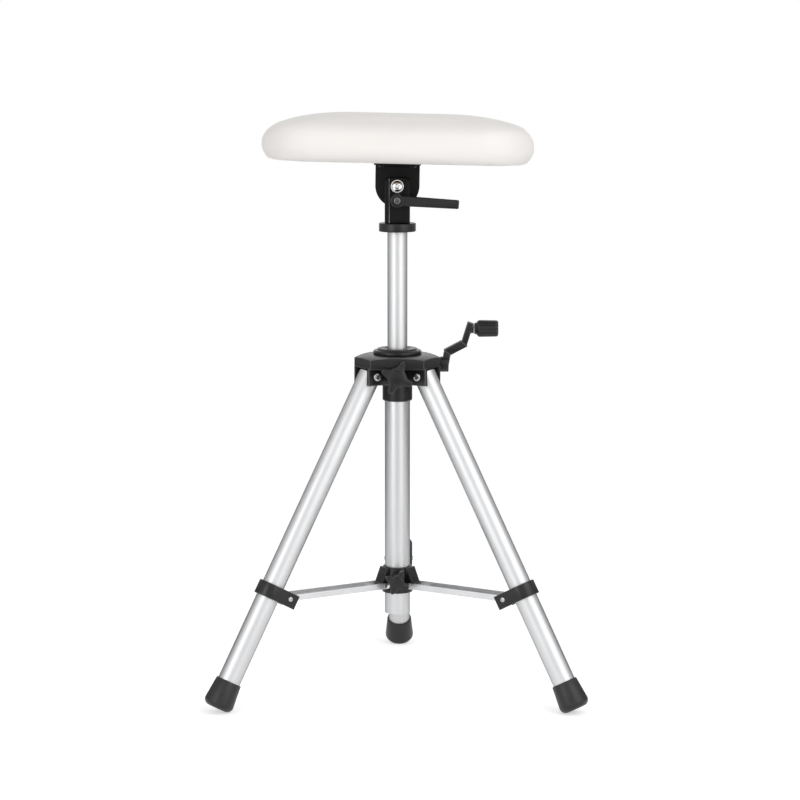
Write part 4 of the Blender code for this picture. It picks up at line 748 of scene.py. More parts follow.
def cross_recess(radius, top, depth, matrix, cut):
    """A tapered cross for the head of a screw, from the top down."""
    tools = []
    for turn in (0.0, QUARTER):
        spin = matrix @ Matrix.Rotation(turn + RECESS_TURN, 4, "Z")
        wide = radius * RECESS_WIDE * cut
        thin = radius * RECESS_THIN * cut
        rings = []
        for height, share in ((top - depth, RECESS_TAPER), (top + MM, 1.0)):
            x = wide * share
            rings.append([(-x, -thin, height), (x, -thin, height), (x, thin, height), (-x, thin, height)])
        tools.append(loft("recess", rings, spin))
    return tools


def screw(name, length, radius, head_radius, head_height, matrix, cut=1.0, washer=0.0):
    """A domed cross-head screw. Its head stands up from Z = 0 of its matrix, over a washer face."""
    inner = head_radius * HEAD_INNER if washer else head_radius
    dome = [(head_radius, -washer)]
    if washer:
        dome += [(head_radius, 0.5 * MM), (head_radius - 0.2 * MM, 0.7 * MM), (inner, 0.7 * MM)]
    dome.append((inner, head_height * HEAD_SKIRT))
    for k in range(1, 7):
        angle = k * 15.0 * DEGREE
        height = head_height * (HEAD_SKIRT + (1.0 - HEAD_SKIRT) * math.sin(angle))
        dome.append((inner * math.cos(angle) ** HEAD_DOME_POWER, height))
    dome[-1] = (0.0, head_height)
    profile = [(0.0, -length), (radius, -length), (radius, -washer)] + dome
    obj = lathe(name, profile, matrix, 0.0, SMALL)
    if cut:
        carve(obj, *cross_recess(inner, head_height, head_height * RECESS_DEPTH, matrix, cut))
    return obj


def nut(name, across, bore, start, end, matrix):
    """A hexagon nut with chamfered corners."""
    corner = across / 2.0 / math.cos(30.0 * DEGREE)
    flat = across * 0.49
    chamfer = (end - start) * 0.16 * 1.6
    obj = slab(name, [polar(corner, k * 60.0 * DEGREE) for k in range(6)], start, end, matrix)
    barrel = (
        (0.0, start),
        (flat, start),
        (corner + SEAT, start + chamfer),
        (corner + SEAT, end - chamfer),
        (flat, end),
        (0.0, end),
    )
    combine(obj, "INTERSECT", lathe("barrel", barrel, matrix, 0.0, SMALL))
    carve(obj, rod("bore", bore, start - MM, end + MM, matrix))
    return obj


def star(tip, waist, height):
    """A ring with four pointed lobes."""
    ring = []
    for k in range(STAR_POINTS):
        angle = 2.0 * math.pi * k / STAR_POINTS
        swing = 0.5 + 0.5 * math.cos(4.0 * (angle - KNOB_PHASE))
        radius = waist + (tip - waist) * swing**KNOB_LOBE_POWER
        ring.append((*polar(radius, angle), height))
    return ring


def star_knob(name, tip, waist, thickness, stem, matrix):
    """A four-lobe knob with rounded rims, a stem behind it and a raised round centre."""
    face = stem + thickness
    rings = [star(waist * 0.78, waist * 0.78, 0.0), star(waist * 0.8, waist * 0.8, 0.4 * MM)]
    rings.append(star(waist * 0.8, waist * 0.8, stem))
    for k in range(5):
        angle = k * QUARTER / 4.0
        share = 0.92 + 0.08 * math.sin(angle)
        height = stem + 0.3 * MM + 1.7 * MM * (1.0 - math.cos(angle))
        rings.append(star(tip * share, waist * share, height))
    for k in range(6):
        angle = k * QUARTER / 5.0
        share = 0.88 + 0.12 * math.cos(angle)
        height = face - 3.0 * MM + 2.4 * MM * math.sin(angle)
        rings.append(star(tip * share, waist * share, height))
    rings.append(star(waist * 0.78, waist * 0.74, face - 0.2 * MM))
    for share, rise in ((0.72, 0.0), (0.71, 0.9), (0.68, 1.4), (0.62, 1.6)):
        rings.append(star(waist * share, waist * share, face + rise * MM))
    return loft(name, rings, matrix)


def build_tubes():
    column = tube("column", COLUMN_RADIUS, COLUMN_BORE, COLUMN_BOTTOM, COLUMN_TOP, COLUMN)
    finish_piece(column, "column_tube")
    mast = tube("mast", MAST_RADIUS, MAST_BORE, MAST_BOTTOM, MAST_TOP, COLUMN)
    corner = (-RACK_SLOT_HALF, RACK_SLOT_NEAR, RACK_SLOT[0])
    opposite = (RACK_SLOT_HALF, PAST, RACK_SLOT[1])
    carve(mast, block("slot", corner, opposite, COLUMN))
    finish_piece(mast, "mast_tube")
    bottom = COLUMN_BOTTOM + PLUG_SINK
    top = COLUMN_BOTTOM + PLUG_TOP
    plug = rod("column_end", COLUMN_BORE - GAP, bottom, top, COLUMN, ROUND, 0.4 * MM)
    finish_piece(plug, "column_plug")


def build_legs():
    for name, azimuth in LEGS.items():
        matrix = leg_frame(azimuth)
        leg = tube("leg_" + name, LEG_RADIUS, LEG_BORE, -LEG_END, LEG_TOP, matrix)
        carve(leg, rod("notch", BOLT_RADIUS + NOTCH_ROOM, -PAST, PAST, matrix @ FRONT))
        finish_piece(leg, "leg_tube_" + name)
        build_foot(name, matrix)
        build_clamp(name, matrix)
        build_hinge(name, azimuth)


def build_foot(name, matrix):
    """The rubber cap: a slight flare, a rolled top rim and a round bottom edge, flat on the floor."""
    inner = LEG_RADIUS + FIT
    floor = -LEG_END - GAP
    profile = [(0.0, -FOOT_BOTTOM), (FOOT_RADIUS - FOOT_ROUND, -FOOT_BOTTOM)]
    for k in range(1, 9):
        angle = k * QUARTER / 8.0
        radius = FOOT_RADIUS - FOOT_ROUND * (1.0 - math.sin(angle))
        profile.append((radius, -FOOT_BOTTOM + FOOT_ROUND * (1.0 - math.cos(angle))))
    profile += [(FOOT_TOP_RADIUS - aside * MM, -FOOT_TOP - down * MM) for aside, down in FOOT_RIM]
    profile += [(inner, -FOOT_TOP), (inner, floor), (0.0, floor)]
    foot = lathe("rubber_foot_" + name, profile, matrix, 0.0)
    carve(foot, block("floor", *GROUND, COLUMN))
    finish_piece(foot, "foot_" + name)


def build_clamp(name, matrix):
    strap = arc(CLAMP_OUTER, -QUARTER, QUARTER, ARC_STEPS)
    strap += [(-CLAMP_REACH, CLAMP_OUTER), (-CLAMP_REACH, CLAMP_INNER)]
    strap += arc(CLAMP_INNER, QUARTER, -QUARTER, ARC_STEPS)
    strap += [(-CLAMP_REACH, -CLAMP_INNER), (-CLAMP_REACH, -CLAMP_OUTER)]
    bottom = -CLAMP_AT - CLAMP_HALF_HEIGHT
    top = bottom + 2.0 * CLAMP_HALF_HEIGHT
    # The strap's bevels carry a painted highlight
    clamp = slab("strap_" + name, strap, bottom, top, matrix, 0.5 * MM, True)
    finish_piece(clamp, "clamp_" + name)
    for side, label in ((1.0, "a"), (-1.0, "b")):
        spot = Vector((-CLAMP_PIN_OFFSET, side * CLAMP_OUTER, -CLAMP_PIN_AT))
        place = matrix @ Matrix.Translation(spot) @ Matrix.Rotation(-side * QUARTER, 4, "X")
        title = "rivet_head_%s_%s" % (name, label)
        rivet = screw(title, RIVET_SHANK, RIVET_SHANK, RIVET_HEAD, RIVET_HEIGHT, place, 0.0)
        carve(rivet, rod("dimple", RIVET_DIMPLE, RIVET_DIMPLE_FLOOR, PAST, place))
        finish_piece(rivet, "rivet_%s_%s" % (name, label), material=DULL_STEEL)


def build_hinge(name, azimuth):
    side = BOLT_SIDES[name]
    matrix = hinge_frame(azimuth) @ Matrix.Rotation(-side * QUARTER, 4, "X")
    seat = EAR_OUTER + SEAT
    top = matrix @ raised(seat)
    length = 2.0 * seat + HINGE_NUT + MM
    title = "hinge_screw_" + name
    bolt = screw(title, length, BOLT_RADIUS, BOLT_HEAD, BOLT_HEAD_HEIGHT, top, BOLT_CROSS)
    finish_piece(bolt, "hinge_bolt_" + name, material=DULL_STEEL)
    title = "hinge_hex_" + name
    hinge_nut = nut(title, HINGE_NUT_ACROSS, BOLT_RADIUS, -seat - HINGE_NUT, -seat, matrix)
    finish_piece(hinge_nut, "hinge_nut_" + name)


def build_shoulder():
    """The casting, joined from rounded forms."""
    corner = (ROOF_FACET - ROOF_REACH / 2.0) / math.cos(30.0 * DEGREE)
    outline = []
    for azimuth in sorted(LEGS.values()):
        for side in (-corner, corner):
            x = ROOF_REACH * math.cos(azimuth) - side * math.sin(azimuth)
            y = ROOF_REACH * math.sin(azimuth) + side * math.cos(azimuth)
            outline.append((x, y))
    casting = slab("shoulder", outline, ROOF_BOTTOM, ROOF_TOP + PAST, COLUMN)
    bottom = ROOF_BOTTOM - PAST
    dome = [(0.0, bottom), (ROOF_SLOPE[0][0] * MM, bottom)]
    dome += [(radius * MM, ROOF_TOP - drop * MM) for radius, drop in ROOF_SLOPE]
    dome += [(CAP_RADIUS, ROOF_TOP), (0.0, ROOF_TOP)]
    combine(casting, "INTERSECT", lathe("dome", dome, COLUMN, 4.0 * MM))
    # The casting's bevels carry a painted highlight
    bevel(casting, 0.9 * MM, True)
    inside = CASTING_INSIDE
    ears = (
        (inside, EAR_BOTTOM),
        (EAR_REACH, EAR_BOTTOM),
        (EAR_REACH, ROOF_BOTTOM + EAR_LAP),
        (inside, ROOF_BOTTOM + EAR_LAP),
    )
    low_end = EAR_BOTTOM - CORE_DROP
    lap = EAR_BOTTOM + SLEEVE_LAP
    forms = [
        rod("core", CORE_RADIUS, low_end, ROOF_BOTTOM + CORE_LAP, COLUMN, ROUND, 0.8 * MM),
        rod("sleeve", SLEEVE_RADIUS, SLEEVE_BOTTOM, lap, COLUMN, ROUND, 2.0 * MM),
        rod("crank_boss", CRANK_BOSS_RADIUS, inside, CRANK_BOSS_END, CRANK_FRAME, ROUND, 0.6 * MM),
        rod("knob_boss", KNOB_BOSS_RADIUS, inside, KNOB_BOSS_END, KNOB_FRAME, ROUND, 0.8 * MM),
    ]
    for azimuth in LEGS.values():
        matrix = turned_to(azimuth) @ FRONT
        outline = fillet(ears, 1.6 * MM)
        # The ears' bevels carry a painted highlight
        forms.append(slab("ears", outline, -EAR_OUTER, EAR_OUTER, matrix, 0.7 * MM, True))
    join(casting, *forms)
    top = ROOF_BOTTOM + 0.4 * MM
    tools = []
    for azimuth in LEGS.values():
        matrix = turned_to(azimuth)
        first = (POCKET_START, -EAR_INNER, EAR_BOTTOM - PAST)
        tools.append(block("pocket", first, (EAR_REACH + PAST, EAR_INNER, top), matrix))
        first = (POCKET_START + MM, -POCKET_TOP_HALF, top - 3.0 * MM)
        tools.append(block("pocket", first, (POCKET_END, POCKET_TOP_HALF, POCKET_TOP), matrix))
    bottom = SLEEVE_BOTTOM - PAST
    above = CAP_TOP + PAST
    tools += [
        rod("bore", MAST_RADIUS + 2.0 * FIT, bottom, above, COLUMN, ROUND),
        rod("bore", COLUMN_RADIUS + FIT, bottom - MM, COLUMN_TOP + GAP, COLUMN, ROUND),
        rod("bore", CAP_SPIGOT + GAP, CAP_SPIGOT_BOTTOM - GAP, above - MM, COLUMN, ROUND),
        rod("bore", PINION_ROOM, -PINION_ROOM_HALF, PINION_ROOM_HALF, CRANK_FRAME),
        rod("bore", SHAFT_RADIUS + GAP, SHAFT_BORE_START, CRANK_BOSS_END + PAST, CRANK_FRAME),
        rod("bore", STUD_RADIUS + GAP, STUD_BORE_START, KNOB_BOSS_END + PAST, KNOB_FRAME),
    ]
    carve(casting, *tools)
    finish_piece(casting, "shoulder_casting")

    bore = MAST_RADIUS + FIT
    cap = (
        (bore, CAP_SPIGOT_BOTTOM),
        (CAP_SPIGOT, CAP_SPIGOT_BOTTOM),
        (CAP_SPIGOT, ROOF_TOP + SEAT),
        (CAP_RADIUS, ROOF_TOP + SEAT),
        (CAP_RADIUS, ROOF_TOP + 3.0 * MM),
        (CAP_RADIUS - 1.2 * MM, CAP_TOP - 2.0 * MM),
        (CAP_RADIUS - 4.0 * MM, CAP_TOP - 2.0 * MM),
        (CAP_RADIUS - 5.2 * MM, CAP_TOP),
        (bore + 3.2 * MM, CAP_TOP),
        (bore + 2.6 * MM, CAP_TOP - 0.7 * MM),
        (bore, CAP_TOP - 0.7 * MM),
    )
    finish_piece(lathe("collar_ring", cap, COLUMN, 0.6 * MM), "collar_cap")


def build_knobs():
    matrix = KNOB_FRAME @ raised(KNOB_BOSS_END + FREE)
    knob = star_knob("star_knob", KNOB_RADIUS, KNOB_WAIST, KNOB_THICKNESS, 2.0 * MM, matrix)
    finish_piece(knob, "lock_knob")
    stud = rod("star_knob_stud", STUD_RADIUS, MAST_RADIUS + GAP, KNOB_BOSS_END + MM, KNOB_FRAME)
    finish_piece(stud, "lock_stud")
    matrix = HUB_KNOB_FRAME @ raised(HUB_BOSS_END + FREE)
    sizes = (HUB_KNOB_RADIUS, HUB_KNOB_WAIST, HUB_KNOB_THICKNESS)
    finish_piece(star_knob("small_star_knob", *sizes, 1.5 * MM, matrix), "hub_knob")


def build_head():
    """The ring and the clevis on top of the mast, with the bolt and the nuts."""
    bore = MAST_RADIUS + FIT
    ring = tube("mast_ring", RING_RADIUS, bore, RING_BOTTOM, RING_TOP, COLUMN, 1.2 * MM)
    finish_piece(ring, "head_ring")
    x = HEAD_HALF_WIDTH
    y = HEAD_HALF_DEPTH
    base = RING_TOP + SEAT
    cheeks = [(-x, base), (x, base), (x, HEAD_TOP), (-x, HEAD_TOP)]
    top = fillet(cheeks, 5.0 * MM, True, 8)
    outline = [(-x, base), (x, base)] + [(px, pz) for px, pz in top if pz > HEAD_SLOT_FLOOR]
    head = slab("clevis", outline, -y, y, COLUMN @ FRONT, 1.0 * MM)
    reach = y + PAST
    above = HEAD_TOP + PAST
    panel = (-HEAD_PANEL, -reach, base + 3.0 * MM)
    lever = LEVER_AXIS @ FRONT
    carve(
        head,
        rod("socket", bore, RING_BOTTOM, MAST_TOP + GAP, COLUMN, ROUND),
        block("slot", (-reach, -HEAD_SLOT, HEAD_SLOT_FLOOR), (reach, HEAD_SLOT, above), COLUMN),
        block("panel", panel, (HEAD_PANEL, MM - y, above), COLUMN),
        rod("hole", PIVOT_RADIUS + GAP, -reach, reach, TILT_FRAME),
        rod("hole", STUD_RADIUS + GAP, -reach, reach, lever),
    )
    # The clevis gets the paint with a painted highlight along a rib's edge
    finish_piece(head, "clevis_head", material=GLINT_PAINT)

    seat = y + SEAT
    front = TILT_FRAME @ raised(seat)
    length = 2.0 * seat + PIVOT_NUT + MM
    sizes = (length, PIVOT_RADIUS, PIVOT_HEAD, PIVOT_HEAD_HEIGHT)
    finish_piece(screw("tilt_bolt", *sizes, front, washer=PIVOT_WASHER), "pivot_bolt")
    sizes = (PIVOT_NUT_ACROSS, PIVOT_RADIUS, -seat - PIVOT_NUT, -seat)
    finish_piece(nut("tilt_nut", *sizes, TILT_FRAME), "pivot_nut")
    sizes = (LEVER_NUT_ACROSS, STUD_RADIUS, -seat - LEVER_NUT, -seat)
    finish_piece(nut("lever_hex", *sizes, lever), "lever_nut")


def build_lever():
    start = HEAD_HALF_DEPTH + FREE
    end = start + LEVER_THICK
    corners = (
        (LEVER_ROOT, -LEVER_ROOT_HALF),
        (LEVER_LENGTH, -LEVER_TIP_HALF),
        (LEVER_LENGTH, LEVER_TIP_HALF),
        (LEVER_ROOT, LEVER_ROOT_HALF),
    )
    outline = fillet(corners, 1.6 * MM)
    handle = slab("lever", outline, start + 2.0 * MM, end - 1.2 * MM, LEVER_FRAME, 1.0 * MM)
    join(handle, rod("hub", LEVER_HUB, start - 0.8 * MM, end, LEVER_FRAME, ROUND, 1.4 * MM))
    sink = end - LEVER_SINK
    carve(
        handle,
        rod("bore", STUD_RADIUS + SEAT, start - PAST, end + PAST, LEVER_FRAME),
        rod("sink", LEVER_SCREW_HEAD + 0.4 * MM, sink, end + PAST + MM, LEVER_FRAME),
    )
    finish_piece(handle, "tilt_lever")
    seat = sink + 0.05 * MM
    place = LEVER_FRAME @ raised(seat)
    length = seat + HEAD_HALF_DEPTH + LEVER_NUT + MM
    sizes = (length, STUD_RADIUS, LEVER_SCREW_HEAD, LEVER_SCREW_HEIGHT)
    finish_piece(screw("lever_screw", *sizes, place), "lever_stud")


def build_bracket():
    inside = FLANGE_BOTTOM + 1.5 * MM
    outline = [(PLATE_RADIUS, inside), (-PLATE_RADIUS, inside)]
    outline += arc(PLATE_RADIUS, math.pi, 2.0 * math.pi, 64)
    upright = PAD_FRAME @ FRONT
    bracket = slab("bracket", outline, -PLATE_HALF, PLATE_HALF, upright, 0.6 * MM)
    flange = rounded_box(FLANGE_HALF_WIDTH, FLANGE_HALF_DEPTH, 5.0 * MM)
    top = FLANGE_BOTTOM + FLANGE_THICK
    web = (
        (-PLATE_HALF - WEB, FLANGE_BOTTOM + 0.5 * MM),
        (PLATE_HALF + WEB, FLANGE_BOTTOM + 0.5 * MM),
        (PLATE_HALF - 0.5 * MM, FLANGE_BOTTOM - WEB),
        (0.5 * MM - PLATE_HALF, FLANGE_BOTTOM - WEB),
    )
    half = PLATE_RADIUS - 0.6 * MM
    join(
        bracket,
        slab("flange", flange, FLANGE_BOTTOM, top, PAD_FRAME, 0.5 * MM),
        slab("web", web, -half, half, PAD_FRAME @ RIGHT),
    )
    outer = LEVER_DROP + STUD_RADIUS + GAP
    inner = LEVER_DROP - STUD_RADIUS - GAP
    slot = arc(outer, -QUARTER - SLOT_HALF_ANGLE, SLOT_HALF_ANGLE - QUARTER, 31)
    slot += arc(inner, SLOT_HALF_ANGLE - QUARTER, -QUARTER - SLOT_HALF_ANGLE, 31)
    hole = rod("hole", PIVOT_RADIUS + GAP, -PAST, PAST, upright)
    carve(bracket, hole, slab("slot", slot, -PAST, PAST, upright))
    finish_piece(bracket, "tilt_bracket", material=BLACK_PAINT)


def build_crank():
    """The bent arm, a bar for each of its straight runs, and the fluted grip."""
    arm_path = (
        (52.6 * MM, -3.0 * MM),
        (55.4 * MM, 13.6 * MM),
        (74.0 * MM, 23.4 * MM),
        (81.2 * MM, CRANK_RADIUS + 6.5 * MM),
    )
    headings = [math.atan2(b[1] - a[1], b[0] - a[0]) for a, b in zip(arm_path, arm_path[1:])]
    half = CRANK_ARM_WIDTH / 2.0
    upright = CRANK_AXIS @ FRONT
    bars = []
    for k, (heading, thick) in enumerate(zip(headings, CRANK_THICK)):
        left = []
        right = []
        for j, lap in ((k, -CRANK_LAP), (k + 1, CRANK_LAP)):
            before = headings[max(j - 1, 0)]
            after = headings[min(j, len(headings) - 1)]
            middle = (before + after) / 2.0
            reach = thick / 2.0 / math.cos((after - before) / 2.0)
            aside = Vector((-math.sin(middle), math.cos(middle))) * reach
            end = Vector(arm_path[j]) + Vector((math.cos(heading), math.sin(heading))) * lap
            left.append(end + aside)
            right.append(end - aside)
        # The bars' bevels carry a painted highlight
        bars.append(slab("crank", right + left[::-1], -half, half, upright, 0.6 * MM, True))
    bush_end = GRIP_START - 0.45 * MM
    bars.append(rod("bush", BUSH_RADIUS, BUSH_START, bush_end, GRIP_FRAME, ROUND, 0.5 * MM))
    hub = rod("hub", CRANK_BOSS_RADIUS, CRANK_HUB_START, CRANK_HUB_END, CRANK_FRAME, ROUND, 1.2 * MM)
    arm = bars[0]
    join(arm, *bars[1:], hub)
    bottom = CRANK_HUB_START - 4.0 * MM
    hole = rod("bore", SHAFT_RADIUS + SEAT, bottom, CRANK_HUB_END - 0.6 * MM, CRANK_FRAME)
    carve(arm, hole)
    finish_piece(arm, "crank_arm")

    rings = []
    count = 8 * GRIP_FLUTES
    for at, radius, flute in (
        (GRIP_START, GRIP_NECK - 0.4 * MM, 0.0),
        (GRIP_START + 0.4 * MM, GRIP_NECK, 0.0),
        (GRIP_START + 2.2 * MM, GRIP_NECK + 0.2 * MM, 0.0),
        (GRIP_START + 3.6 * MM, GRIP_RADIUS - 1.4 * MM, 0.3 * MM),
        (GRIP_START + 4.6 * MM, GRIP_RADIUS - 0.4 * MM, 0.6 * MM),
        (GRIP_START + 5.6 * MM, GRIP_RADIUS, 0.8 * MM),
        (GRIP_END - 3.0 * MM, GRIP_RADIUS - 0.3 * MM, 0.8 * MM),
        (GRIP_END - 1.4 * MM, GRIP_RADIUS - 0.5 * MM, 0.6 * MM),
        (GRIP_END - 0.4 * MM, GRIP_RADIUS - 1.2 * MM, 0.3 * MM),
        (GRIP_END, GRIP_RADIUS - 2.2 * MM, 0.0),
    ):
        ring = []
        for k in range(count):
            angle = 2.0 * math.pi * k / count
            groove = max(0.0, math.cos(GRIP_FLUTES * angle)) ** 2
            ring.append((*polar(radius - flute * groove, angle), at))
        rings.append(ring)
    finish_piece(loft("fluted_grip", rings, GRIP_FRAME), "crank_grip")


def build_hub():
    sleeve = (
        (HUB_BORE, HUB_BOTTOM),
        (HUB_FLANGE, HUB_BOTTOM),
        (HUB_FLANGE, HUB_BOTTOM + HUB_FLANGE_HEIGHT),
        (HUB_RADIUS, HUB_BOTTOM + HUB_FLANGE_HEIGHT),
        (HUB_RADIUS, HUB_TOP),
        (HUB_BORE, HUB_TOP),
    )
    hub = lathe("hub", sleeve, COLUMN, 1.0 * MM)
    height = STRUT_PIVOT_HEIGHT
    root = HUB_BORE + 0.9 * MM
    wing = (
        (root, height - STRUT_LUG),
        (STRUT_PIVOT_REACH + STRUT_LUG, height - STRUT_LUG),
        (STRUT_PIVOT_REACH + STRUT_LUG, height + 1.6 * MM),
        (WING_REACH, height + 1.9 * MM),
        (WING_REACH, height + 3.4 * MM),
        (WING_TOP_REACH, HUB_TOP - 0.4 * MM),
        (root, HUB_TOP - 0.4 * MM),
    )
    hollow = (
        (WING_TOP_REACH, height + 4.6 * MM),
        (WING_REACH - 3.4 * MM, height + 4.6 * MM),
        (WING_TOP_REACH, HUB_TOP - 5.0 * MM),
    )
    half = WING_HALF_WIDTH
    near = half - 1.6 * MM
    far = half + 6.0 * MM
    forms = [rod("boss", HUB_BOSS_RADIUS, root, HUB_BOSS_END, HUB_KNOB_FRAME, ROUND, 0.6 * MM)]
    tools = [rod("bore", HUB_STUD_BORE, HUB_INSIDE, HUB_BOSS_END + PAST, HUB_KNOB_FRAME)]
    for azimuth in LEGS.values():
        matrix = turned_to(azimuth) @ FRONT
        forms.append(slab("wing", fillet(wing, 1.2 * MM), -half, half, matrix, 0.5 * MM))
        tools.append(slab("hollow", hollow, near, far, matrix))
        tools.append(slab("hollow", hollow, -far, -near, matrix))
        pin = turned_to(azimuth) @ Matrix.Translation((STRUT_PIVOT_REACH, 0.0, height)) @ FRONT
        tools.append(rod("pin", STRUT_PIN, -far, far, pin))
    join(hub, *forms)
    carve(hub, *tools)
    finish_piece(hub, "spreader_hub")


def inflate(cover):
    """Swell the cover as cloth under pressure. The foam keeps each point near its start."""
    start = [vertex.co.copy() for vertex in cover.data.vertices]
    normals = [vertex.normal.copy() for vertex in cover.data.vertices]
    held = cover.vertex_groups.new(name="held")
    base = PAD_BOTTOM + CLOTH_HELD
    held.add([k for k, point in enumerate(start) if point.z < base], 1.0, "REPLACE")
    cloth = cover.modifiers.new("cloth", "CLOTH")
    settings = cloth.settings
    settings.use_pressure = True
    settings.uniform_pressure_force = CLOTH_PRESSURE
    settings.effector_weights.gravity = 0.0
    settings.vertex_group_mass = "held"
    settings.quality = CLOTH_QUALITY
    settings.tension_stiffness = CLOTH_STIFFNESS
    settings.compression_stiffness = CLOTH_STIFFNESS
    settings.bending_stiffness = CLOTH_BENDING
    cloth.point_cache.frame_end = CLOTH_FRAMES
    scene = bpy.context.scene
    for step in range(1, CLOTH_FRAMES + 1):
        scene.frame_set(step)
    bake_modifiers(cover)
    scene.frame_set(1)
    for vertex, point, normal in zip(cover.data.vertices, start, normals):
        move = vertex.co - point
        move -= normal * min(0.0, move.dot(normal)) * FOAM_HOLD
        if move.length > CLOTH_CAP:
            move *= CLOTH_CAP / move.length
        vertex.co = point + move


def end_inset(rise):
    """How far the foam's ends lie inside the widest line, at a height over the bottom."""
    for (first, _, below), (second, _, above) in zip(PAD_RINGS, PAD_RINGS[1:]):
        if rise <= above:
            return first + (second - first) * max(0.0, (rise - below) / (above - below))
    return PAD_RINGS[-1][0]


def fit_cover(cover):
    """Bring the swollen cover to the foam's length, width and height, with fuller shoulders."""
    points = [vertex.co for vertex in cover.data.vertices]
    wide = PAD_HALF_WIDTH / max(point.x for point in points)
    deep = PAD_HALF_DEPTH / max(point.y for point in points)
    crown = PAD_CROWN * MM - COVER_KEPT
    tall = crown / (max(point.z for point in points) - PAD_BOTTOM - COVER_KEPT)
    for point in points:
        rise = max(0.0, point.z - PAD_BOTTOM)
        if rise > COVER_KEPT:
            rise = COVER_KEPT + (rise - COVER_KEPT) * tall
        inset = end_inset(rise / MM) * MM
        shoulder = min(inset, COVER_SHOULDER)
        end = RIGHT_END if point.x > 0.0 else LEFT_END
        fuller = end[rise > PAD_WIDEST] * shoulder
        point.x *= wide * (1.0 + fuller / (PAD_HALF_WIDTH - inset))
        point.y *= deep
        skirt = SKIRT_DROP * max(0.0, 1.0 - rise / SKIRT_HEIGHT) ** 2
        point.z = PAD_BOTTOM + rise - skirt - point.x * COVER_LEAN


def build_cushion():
    """The upholstered pad, swollen by a short cloth simulation over its foam form."""
    rings = []
    for inset, long_inset, rise in PAD_RINGS:
        x = PAD_HALF_WIDTH - inset * MM - CLOTH_START
        y = PAD_HALF_DEPTH - long_inset * MM - CLOTH_START
        outline = rounded_box(x, y, max(PAD_CORNER - inset * MM, PAD_CORNER_LEAST), 12)
        drop = CLOTH_START * min(1.0, rise / PAD_CROWN)
        rings.append([(x, y, PAD_BOTTOM + rise * MM - drop) for x, y in outline])
    cover = loft("cushion_cover", rings, Matrix.Identity(4))
    remesh = cover.modifiers.new("remesh", "REMESH")
    remesh.mode = "VOXEL"
    remesh.voxel_size = CLOTH_VOXEL
    bake_modifiers(cover)
    inflate(cover)
    smooth = cover.modifiers.new("smooth", "SMOOTH")
    smooth.factor = 0.5
    smooth.iterations = COVER_SMOOTH
    fine = cover.modifiers.new("fine", "SUBSURF")
    fine.levels = 1
    fine.render_levels = 1
    bake_modifiers(cover)
    fit_cover(cover)
    normals = [vertex.normal.copy() for vertex in cover.data.vertices]
    for vertex, normal in zip(cover.data.vertices, normals):
        point = vertex.co
        side = min(1.0, max(0.0, (abs(point.x) - WRINKLE_START) / WRINKLE_SPAN))
        wave = noise.noise(Vector([place * waves for place, waves in zip(point, WRINKLE_WAVES)]))
        vertex.co = point + normal * wave * side * WRINKLE
    inset = BOARD_INSET - FIT
    corner = max(PAD_CORNER - inset, PAD_CORNER_LEAST)
    outline = rounded_box(PAD_HALF_WIDTH - inset, PAD_HALF_DEPTH - inset, corner)
    top = FLANGE_BOTTOM + FLANGE_THICK + GAP + BOARD_THICK
    recess = slab("recess", outline, PAD_BOTTOM - 12.0 * MM, top, Matrix.Identity(4))
    carve(cover, recess)
    cover.matrix_world = PAD_FRAME
    finish_piece(cover, "cushion")


def dress_nodes():
    """Materials for the solids that are shown as they are."""
    for name, node in frame["nodes"].items():
        if node.hide_render:
            continue
        material = MATERIALS[SLOT_OF[name]]
        if name.startswith("strut_") and SLOT_OF[name] == "satin_aluminium":
            material = MATERIALS["strut_aluminium"]
        if SLOT_OF[name] == "blackened_steel":
            material = BLACK_PAINT
        node.data.materials.clear()
        node.data.materials.append(material)
        node.data.shade_smooth()
        node.data.set_sharp_from_angle(angle=SHARP)


def add_camera():
    data = bpy.data.cameras.new("camera")
    data.lens = CAMERA_LENS
    data.sensor_width = CAMERA_SENSOR
    data.shift_x = CAMERA_SHIFT
    data.clip_end = CAMERA_REACH
    camera = put_in_scene("camera", data)
    side = CAMERA_DISTANCE * math.sin(CAMERA_TURN)
    back = CAMERA_DISTANCE * math.cos(CAMERA_TURN)
    camera.location = COLUMN @ Vector((side, -back, CAMERA_HEIGHT))
    camera.rotation_euler = (QUARTER - CAMERA_PITCH, 0.0, CAMERA_TURN)
    bpy.context.scene.camera = camera


def add_area(name, location, target, size, power):
    data = bpy.data.lights.new(name, "AREA")
    data.shape = "RECTANGLE"
    data.size = size[0]
    data.size_y = size[1]
    data.energy = power
    lamp = put_in_scene(name, data)
    lamp.location = location
    aim = Vector(target) - Vector(location)
    lamp.rotation_euler = aim.to_track_quat("-Z", "Y").to_euler()


def seen_directly(tree):
    """1 for camera, glossy and transmission rays, and 0 for those that light a surface."""
    path = tree.nodes.new("ShaderNodeLightPath").outputs
    seen = math_node(tree, "MAXIMUM", path["Is Camera Ray"], path["Is Glossy Ray"])
    return math_node(tree, "MAXIMUM", seen, path["Is Transmission Ray"])


def add_card(name, matrix, width, height):
    """A grey card that only reflections see. Such cards give the metal its darker bands."""
    form = bmesh.new()
    bmesh.ops.create_grid(form, x_segments=1, y_segments=1, size=0.5)
    card = new_object(name, form, COLUMN @ matrix @ Matrix.Diagonal((width, height, 1.0, 1.0)))
    material, tree, shader = new_material(name, (0.3, 0.3, 0.3), 0.0, 0.9)
    height_above = axis_of(tree, "ShaderNodeNewGeometry", "Position", "Z")
    rise = ranged(tree, height_above, 0.0, 1.0, *CARD_FADE)
    tree.links.new(tinted(tree, rise, CARD_LOW, CARD_HIGH), shader.inputs["Base Color"])
    card.data.materials.append(material)
    card.visible_camera = False
    card.visible_diffuse = False
    card.visible_shadow = False


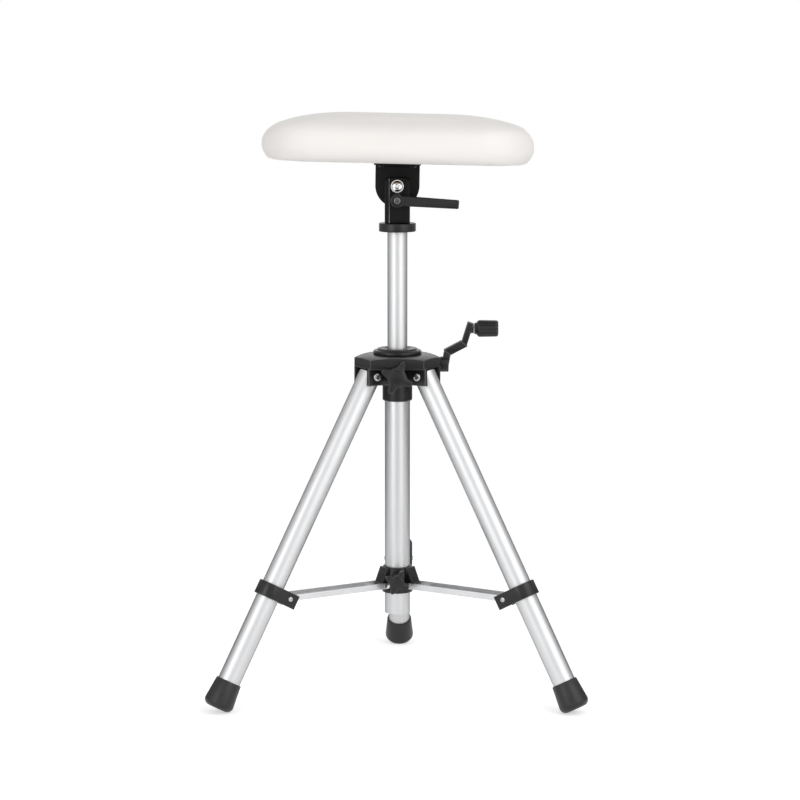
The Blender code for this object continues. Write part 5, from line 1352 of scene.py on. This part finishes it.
def add_stage():
    """A white room: the world, a floor that keeps the shadow, cards to reflect, and soft lamps."""
    world = bpy.data.worlds.new("studio")
    world.use_nodes = True
    tree = world.node_tree
    background = tree.nodes["Background"]
    background.inputs["Color"].default_value = (*WHITE, 1.0)
    up = axis_of(tree, "ShaderNodeTexCoord", "Generated", "Z")
    strength = tree.nodes.new("ShaderNodeMix")
    strength.inputs["B"].default_value = 1.0
    tree.links.new(ranged(tree, up, WORLD_SIDE, WORLD_TOP, 0.0, 1.0), strength.inputs["A"])
    tree.links.new(seen_directly(tree), strength.inputs["Factor"])
    tree.links.new(strength.outputs["Result"], background.inputs["Strength"])
    bpy.context.scene.world = world

    form = bmesh.new()
    bmesh.ops.create_grid(form, x_segments=1, y_segments=1, size=FLOOR_HALF)
    floor = new_object("floor", form, raised(-FLOOR_DROP))
    material, tree, shader = new_material("floor", (0.9, 0.9, 0.9), 0.0, 0.9)
    shader.inputs["Emission Color"].default_value = (*WHITE, 1.0)
    lift = math_node(tree, "MULTIPLY", seen_directly(tree), FLOOR_LIFT)
    tree.links.new(lift, shader.inputs["Emission Strength"])
    floor.data.materials.append(material)

    for name, side in (("card_left", -1.0), ("card_right", 1.0)):
        turn = Matrix.Rotation(side * SIDE_CARD_AZIMUTH, 4, "Z")
        place = Matrix.Translation((0.0, -SIDE_CARD_DISTANCE, SIDE_CARD_HEIGHT / 2.0))
        add_card(name, turn @ place @ FRONT, SIDE_CARD_WIDTH, SIDE_CARD_HEIGHT)
    middle = -(FRONT_CARD_NEAR + FRONT_CARD_FAR) / 2.0
    place = Matrix.Translation((0.0, middle, MM))
    add_card("card_front", place, FRONT_CARD_WIDTH, FRONT_CARD_FAR - FRONT_CARD_NEAR)
    for name, azimuth, height, size, radiance in SOFTBOXES:
        side = LAMP_DISTANCE * math.sin(azimuth)
        spot = COLUMN @ Vector((side, -LAMP_DISTANCE * math.cos(azimuth), height))
        aim = COLUMN @ Vector((0.0, 0.0, LAMP_AIM))
        add_area(name, spot, aim, size, radiance * math.pi * size[0] * size[1])
    bpy.context.scene.view_settings.view_transform = "Standard"


build_tubes()
build_legs()
build_shoulder()
build_knobs()
build_head()
build_lever()
build_bracket()
build_crank()
build_hub()
build_cushion()
dress_nodes()
add_camera()
add_stage()
